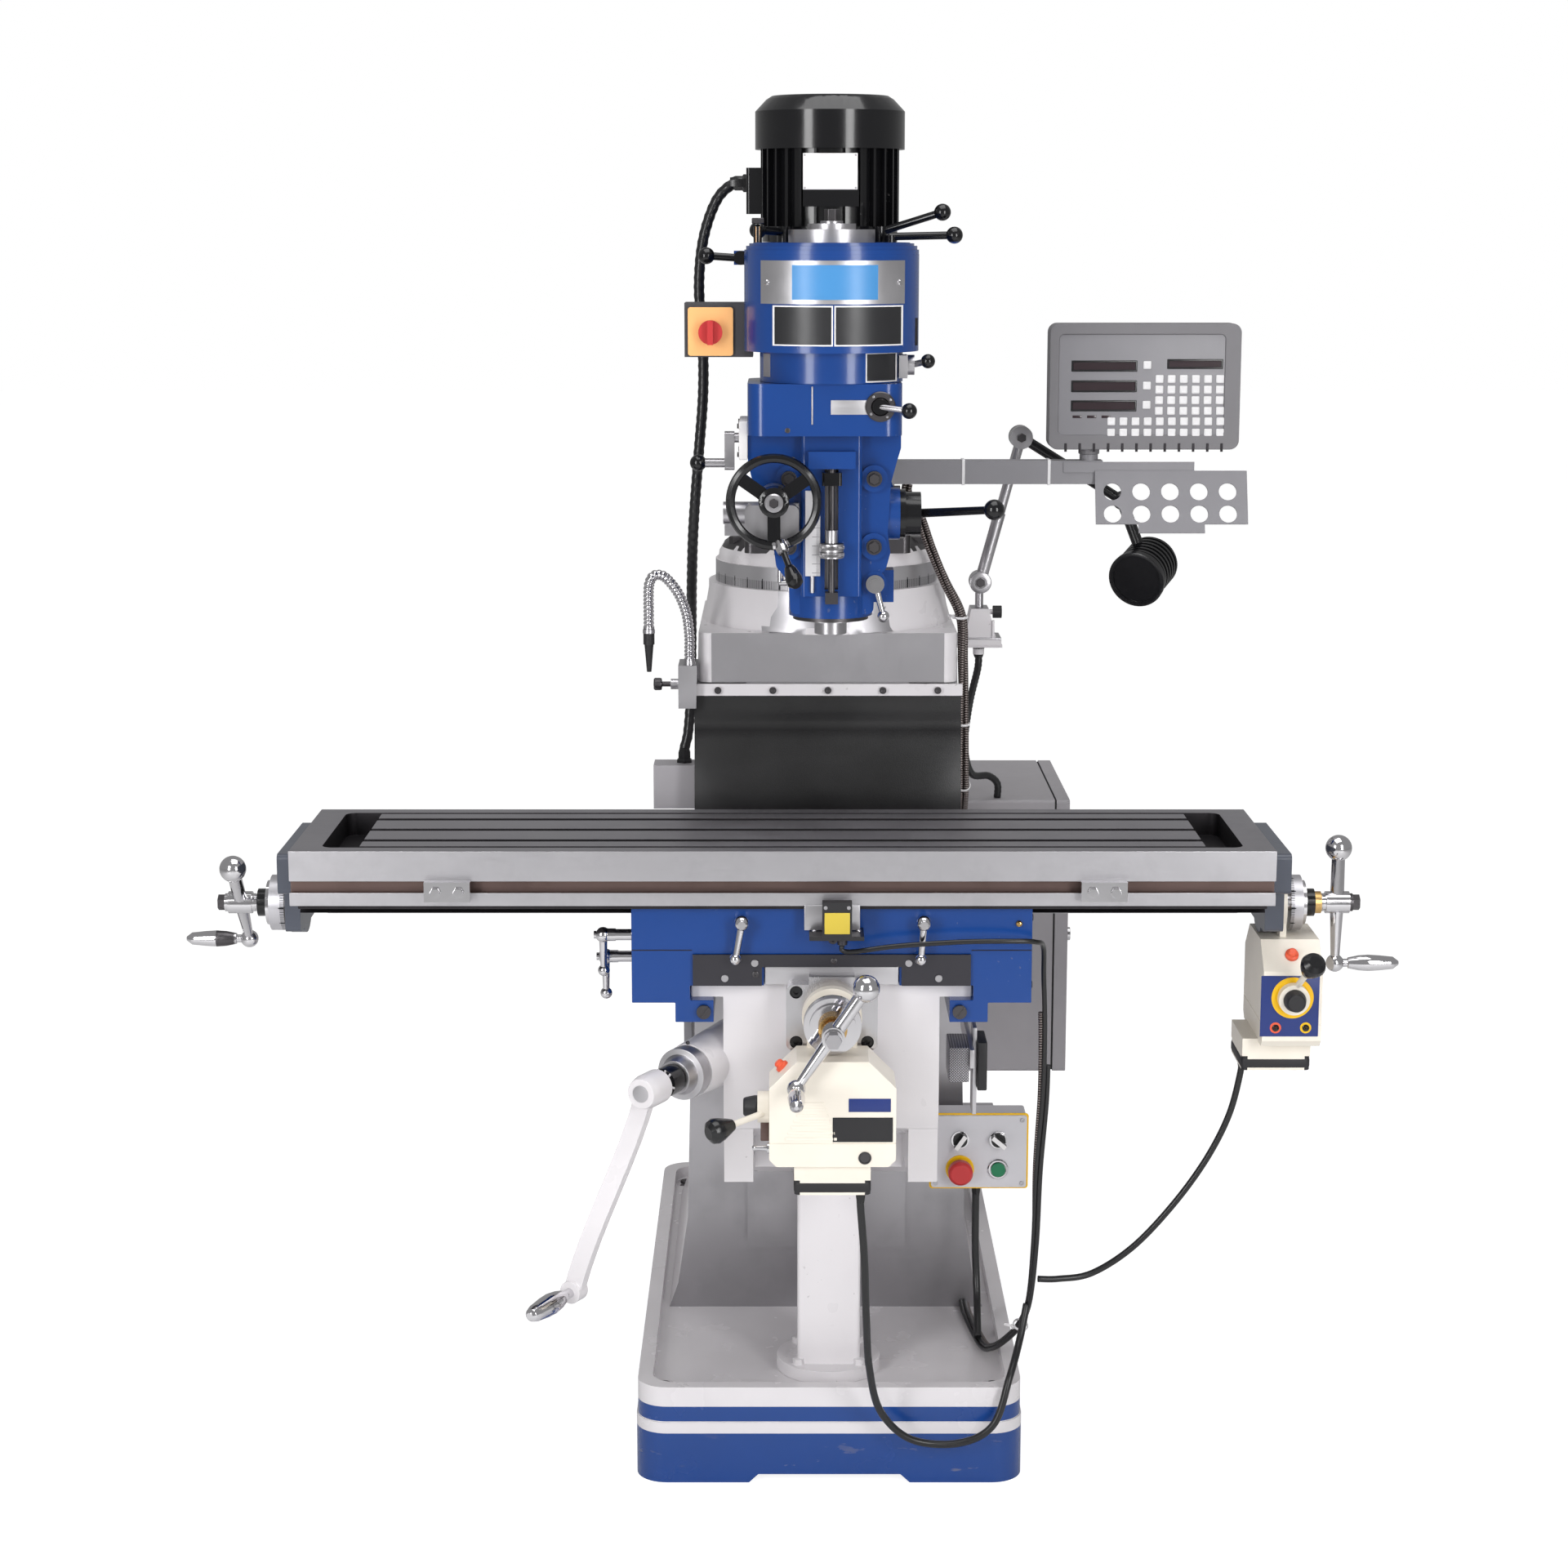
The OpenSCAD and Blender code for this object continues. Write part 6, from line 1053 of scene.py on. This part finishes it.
# Control box: rings round its buttons and screws in its corners
def makeControls():
    collar = [(22, 0), (22, 1.2), (20.5, 2.2), (13.4, 2.2), (13, 0.2)]
    turned("stopCollar", (205, -262.1, 394), ahead, collar, yellowPlastic, "frame")
    bezel = [(16, 0), (16, 2.6), (14.6, 4), (12.4, 4), (12, 0.3)]
    turned("startBezel", (264, -262.1, 394), ahead, bezel, chrome, "frame")
    corners = [(x, -262.1, z) for x in (168, 301) for z in (371, 472)]
    capScrews("boxScrew", corners, ahead, 3.6, 1.6, satinSteel, "frame")


makePlates()
makeHeadTrim()
makeConsole()
makeControls()
print("plates and console ready")


# Power feed units: bare panels, fan relief, plugs and small controls
def makeFeedUnits():
    y = -736
    for number in range(7):
        low = 588 + number * 8.4
        corners = (-66 + 4 * number, y - 1.0, low), (6 - 3 * number, y + 0.5, low + 4.4)
        block("fanRib" + str(number), *corners, creamPlastic, "knee", 0.9)
    block("kneeUnitField", (22, y - 0.9, 629), (80, y + 0.3, 648), navyPanel, "knee", 0.4)
    corners = (0, y - 1.0, 586), (83, y + 0.3, 621)
    block("kneeUnitLabel", *corners, blackPlate, "knee", 0.5, ahead, 1.4, 0.3, softBlack)
    seat = [(9, 0), (9, 1.2), (7.4, 1.4), (6.8, 0.2), (2, 0.1)]
    turned("kneeUnitPlug", (44.6, y - 0.1, 563), ahead, seat, darkSteel, "knee")
    nut = [(8, 0), (8, 2.6), (6.6, 3.4), (4.4, 3.4), (3.6, 8), (3.2, 17), (4.2, 21), (2.6, 24)]
    turned("kneeUnitToggle", (-87.4, -712, 570), left, nut, chrome, "knee")
    block("kneeUnitBlock", (-100, -650, 560), (-87.6, -632, 604), brownGroove, "knee", 1.5)
    block("kneeUnitFoot", (-53.6, -728.6, 506.9), (53.6, -629.4, 527.8), softBlack, "knee", 6)
    capScrews("neckScrew", [(x, -663.1, 716) for x in (-32, 32)], ahead, 3.4, 2.4, darkSteel, "knee")
    y = -575
    block("tableUnitFoot", (591.6, -541, 631.9), (690.6, -434, 652.8), softBlack, "table", 6)
    block("tableUnitField", (611, y - 0.9, 692), (694, y + 0.3, 781), navyPanel, "table", 3.0)
    ring = [(30, 0), (30, 0.9), (28.4, 1.1), (24, 1.1), (23.4, 0.3)]
    turned("tableUnitRing", (656, y - 0.8, 749), ahead, ring, yellowPlastic, "table", 48)
    small = [(5, 0), (5, 2), (3.4, 3.2), (3, 8), (1.6, 9.4)]
    disc = [(8, 0), (8, 0.5), (5.4, 0.6)]
    for number, (x, finish) in enumerate(((633, orangePlastic), (676, yellowPlastic))):
        turned("tableUnitControl" + str(number), (x, y - 0.8, 705), ahead, small, blackPlastic, "table")
        turned("tableUnitMark" + str(number), (x, y - 0.9, 705), ahead, disc, finish, "table")


# Saddle and knee: limit switch, screws, seams, cable clip and the crank's ring
def makeSaddleTrim():
    block("switchPlate", (-39, -642, 863), (39, -638.5, 899), satinSteel, "saddle", 1.0)
    block("channelBar", (-94, -618, 779), (94, -612, 805), aluminium, "saddle", 0.8)
    block("switchField", (-11, -677.4, 866), (24, -675.8, 896), patchYellow, "saddle", 0.6)
    capScrews("switchScrew", [(-9.5, -676, 903), (22.5, -676, 903)], ahead, 2.6, 1.2, satinSteel, "saddle")
    domes("switchPlateScrew", [(x, -640, 862.1) for x in (-25, 37)], up, 4, 2, satinSteel, "saddle")
    spots = [(3, -625.2, 815), (-107, -625.2, 796)]
    capScrews("wiperScrew", spots, ahead, 4.4, 1.8, darkSteel, "saddle")
    for name, start, end in (("saddleSeamLeft", -280.6, -196), ("saddleSeamRight", 196, 280.6)):
        block(name, (start, -620.5, 828.6), (end, -619.6, 830.0), slotDark, "saddle", 0.2)
    capScrews("saddleScrew", [(1.6, -620.1, 845)], ahead, 6.5, 3, darkSteel, "saddle")
    clip = [(4.4, 0), (4.4, 3), (3, 4.4), (3, 6), (1.4, 6.6)]
    turned("cableClip", (262, -620.2, 868), ahead, clip, brass, "saddle")
    spots = [(281.1, y, z) for y in (-600, -350) for z in (775, 872)]
    capScrews("gibScrew", spots, right, 5, 2.4, darkSteel, "saddle")
    readerBox()
    root, out = Vector(kneeRoot), Vector(kneeAxis)
    ring = [(12, 0), (12, 1.2), (9.4, 1.6)]
    turned("crankHubRing", root + out * 263.8, out, ring, satinSteel, "knee_crank")
    capScrews("bossScrew", [root + out * 132.5 + Vector((0, 0, 41))], out, 2.8, 2.4, darkSteel, "knee")


# Scale and reader on the knee's right side, scale cover and cable boot on its left
def readerBox():
    block("scaleBar", (199.3, -560, 640), (206, -330, 668), aluminium, "knee", 0.8)
    block("readerPlate", (206, -520, 560), (212, -470, 690), aluminium, "knee", 0.8)
    block("readerHead", (212, -536, 600), (226, -468, 672), softBlack, "knee", 2.0)
    block("readerCase", (170, -548, 616), (199.2, -470, 668), knurlPlate, "knee", 2.0)
    block("scaleCoverLeft", (-215, -420, 560), (-203, -300, 748), trayGrey, "knee", 1.2)
    boot = [(9, 0), (9, 12), (8, 20), (5.4, 36), (4, 40)]
    turned("bootLeft", (-212, -430, 748), down, boot, softBlack, "knee", 20)


# Rubber cover: a grid shaped to a sheet that bulges under its clamp strip and hangs to the knee
def makeCover():
    cover = {"top": 1138, "strip": 1121, "low": 778.4, "half": 204, "y": -175.6, "columns": 40, "rows": 48}
    bpy.ops.object.select_all(action="DESELECT")
    bpy.ops.mesh.primitive_grid_add(x_subdivisions=cover["columns"], y_subdivisions=cover["rows"], size=1)
    sheet = bpy.context.object
    span = cover["strip"] - cover["low"]
    for vertex in sheet.data.vertices:
        across = vertex.co.x * 2
        height = cover["low"] + (vertex.co.y + 0.5) * (cover["top"] - cover["low"])
        fall = max(0.0, min(1.0, (cover["strip"] - height) / span))
        swell = 24 * fall + 15 * math.sin(math.pi * fall) + 4.5 * math.exp(-((fall - 0.12) / 0.035) ** 2)
        edge = 1 - 0.22 * abs(across) ** 6 * math.sin(math.pi * fall)
        ripple = 1.3 * math.sin(5.2 * across + 3.0 * fall) * math.sin(math.pi * fall)
        vertex.co = (across * cover["half"], cover["y"] - swell * edge + ripple * fall, height)
        vertex.co /= 1000
    wall = sheet.modifiers.new("wall", "SOLIDIFY")
    wall.thickness = 0.0026
    wall.offset = 0
    bpy.ops.object.modifier_apply(modifier="wall")
    editAll()
    bpy.ops.mesh.normals_make_consistent(inside=False)
    endEdit()
    bpy.ops.object.shade_smooth_by_angle(angle=math.radians(50))
    sheet.name = "wayCoverSheet"
    sheet.data.materials.append(rubber)
    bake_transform(sheet)
    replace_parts(sheet, "way_cover")
    spots = [(i * 84, -185, 1131) for i in range(-2, 3)]
    capScrews("stripScrew", spots, ahead, 5.4, 2.8, darkSteel, "frame")


# Gooseneck: a ribbed hose along its route, each rib a swell of the tube
def makeGooseneck():
    points = [
        (-211, -186, 1171), (-211, -186, 1192), (-211, -186, 1215), (-215, -187, 1248), (-225, -190, 1276),
        (-238, -193, 1296), (-251, -196, 1308), (-264, -199, 1308), (-271, -200, 1295), (-272, -200, 1272),
        (-272, -200, 1250), (-272, -200, 1228),
    ]
    ribs = 42
    line = evenly(points, 0.0009)
    count = len(line) - 1
    radii = [0.0064 + 0.0017 * abs(math.sin(math.pi * ribs * i / count)) ** 0.7 for i in range(count + 1)]
    made = tube("gooseneckHose", line, radii, chrome, 20)
    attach(made, "frame")
    cap = [(9.2, 0), (9.2, 5), (8.2, 7), (8.4, 10)]
    turned("gooseneckFoot", (-211, -186, 1170), up, cap, turnedSteel, "frame")
    turned("gooseneckNeck", (-272, -200, 1221), up, cap, turnedSteel, "frame")
    tap = [(4, 0), (4, 14), (9, 15), (9.6, 18), (9.6, 25), (8, 27), (2, 27.4)]
    turned("gooseneckTap", (-239, -180, 1140), left, tap, darkSteel, "frame", 12)


# Lamp: reflector and bulb in its mouth, its rim, the arm's joints, and the shelf that carries it
def makeLamp():
    aim = Vector((-0.42, -0.86, -0.28)).normalized()
    mouth = Vector((504, 26, 1290)) + 30 * aim
    dish = [(37.6, 0), (37.6, 1.2), (36, 1.6), (34, 0.8), (20, 0.5), (11, 0.4)]
    turned("lampReflector", mouth, aim, dish, chrome, "lamp_head", 40)
    bulb = [(10, 0), (11.4, 1.6), (9, 3.6), (3, 4.6)]
    turned("lampBulb", mouth + 0.4 * aim, aim, bulb, keyWhite, "lamp_head")
    rim = [(45.3, 0), (45.6, 0.8), (45.4, 2), (43, 3), (38.2, 2.6), (38, 0.5)]
    turned("lampRim", mouth + 4.6 * aim, aim, rim, blackPlastic, "lamp_head", 48)
    hexHeads("elbowNut", [(307, 21.9, 1501)], ahead, 13, 5, darkSteel, "lamp_lower_arm")
    disc = [(17.4, 0), (17.4, 1.4), (15.6, 2.4), (9, 2.4), (8.4, 1)]
    turned("jointDisc", (245, 21.8, 1272), ahead, disc, satinSteel, "lamp_lower_arm")
    hexHeads("jointNut", [(245, 20.4, 1272)], ahead, 13, 5, darkSteel, "lamp_lower_arm")
    block("lampPlate", (211, 15.5, 1181.6), (279, 84.5, 1184), satinSteel, "frame", 0.6)
    for number, x in enumerate((222, 266)):
        block("lampGusset" + str(number), (x - 2, 20, 1172), (x + 2, 24.5, 1212), whiteEnamel, "frame", 0.8)
    gland = [(10, 0), (10, 4), (8.4, 6), (8.4, 14), (7.2, 18), (6.2, 20)]
    turned("lampGland", (245, 50, 1168), down, gland, blackPlastic, "frame", 12)


# Ties round the cables and the readout's arm, in millimetres
def makeTies():
    bands = [
        ("tieA", (209, -79, 1230), 9, (3, 7, -70)), ("tieB", (214, -72, 1060), 9, (3, 10, -100)),
        ("tieC", (217, -62, 960), 9, (5, 62, -62)), ("tieF", (286, -462, 216), 10, (-12, 24, -48)),
    ]
    for name, centre, radius, way in bands:
        makeTie(name, Vector(centre) / 1000, radius / 1000, way, "frame")
    for number, x in enumerate((205, 336)):
        block("armTie" + str(number), (x, -121.2, 1438.6), (x + 4.5, -88.8, 1477.6), tieWhite, "ram", 0.5)


# Anchor plugs of the base, gasket of the cabinet door, and strain reliefs of the cables
def makeBaseTrim():
    plug = [(9.4, 0), (9.4, 3), (8.4, 4.4), (4, 4.6)]
    spots = [(x, y, 128) for y in (-480, 480) for x in (-245, 245)]
    repeated("anchorPlug", spots, up, plug, darkSteel, "frame", 24)
    block("cabinetGasket", (380.2, 143, 437), (382.9, 517, 895), softBlack, "frame", 0.4)
    collar = [(13, 0), (13, 4), (10.6, 6), (10.6, 16), (9, 20), (8.3, 24)]
    gland = [(9, 0), (9, 4), (7.6, 6), (7.4, 13), (6.6, 18), (5.9, 22)]
    small = [(7.4, 0), (7.4, 3.4), (6.2, 5), (6, 12), (5.3, 17), (4.9, 22)]
    for name, place, axis, profile, body in (
        ("conduitGlandTop", (-122.5, -212, 1890), left, collar, "head"),
        ("conduitGlandLow", (-222, -120, 1008), up, collar, "frame"),
        ("boxGland", (232, -235, 364), down, gland, "frame"),
        ("kneeUnitGland", (40, -694, 507), down, gland, "knee"),
        ("tableUnitGland", (604, -462, 632.3), down, small, "table"),
    ):
        turned(name, place, axis, profile, blackPlastic, body, 6)


makeFeedUnits()
makeSaddleTrim()
makeCover()
makeGooseneck()
makeLamp()
makeTies()
makeBaseTrim()
print("fittings ready")
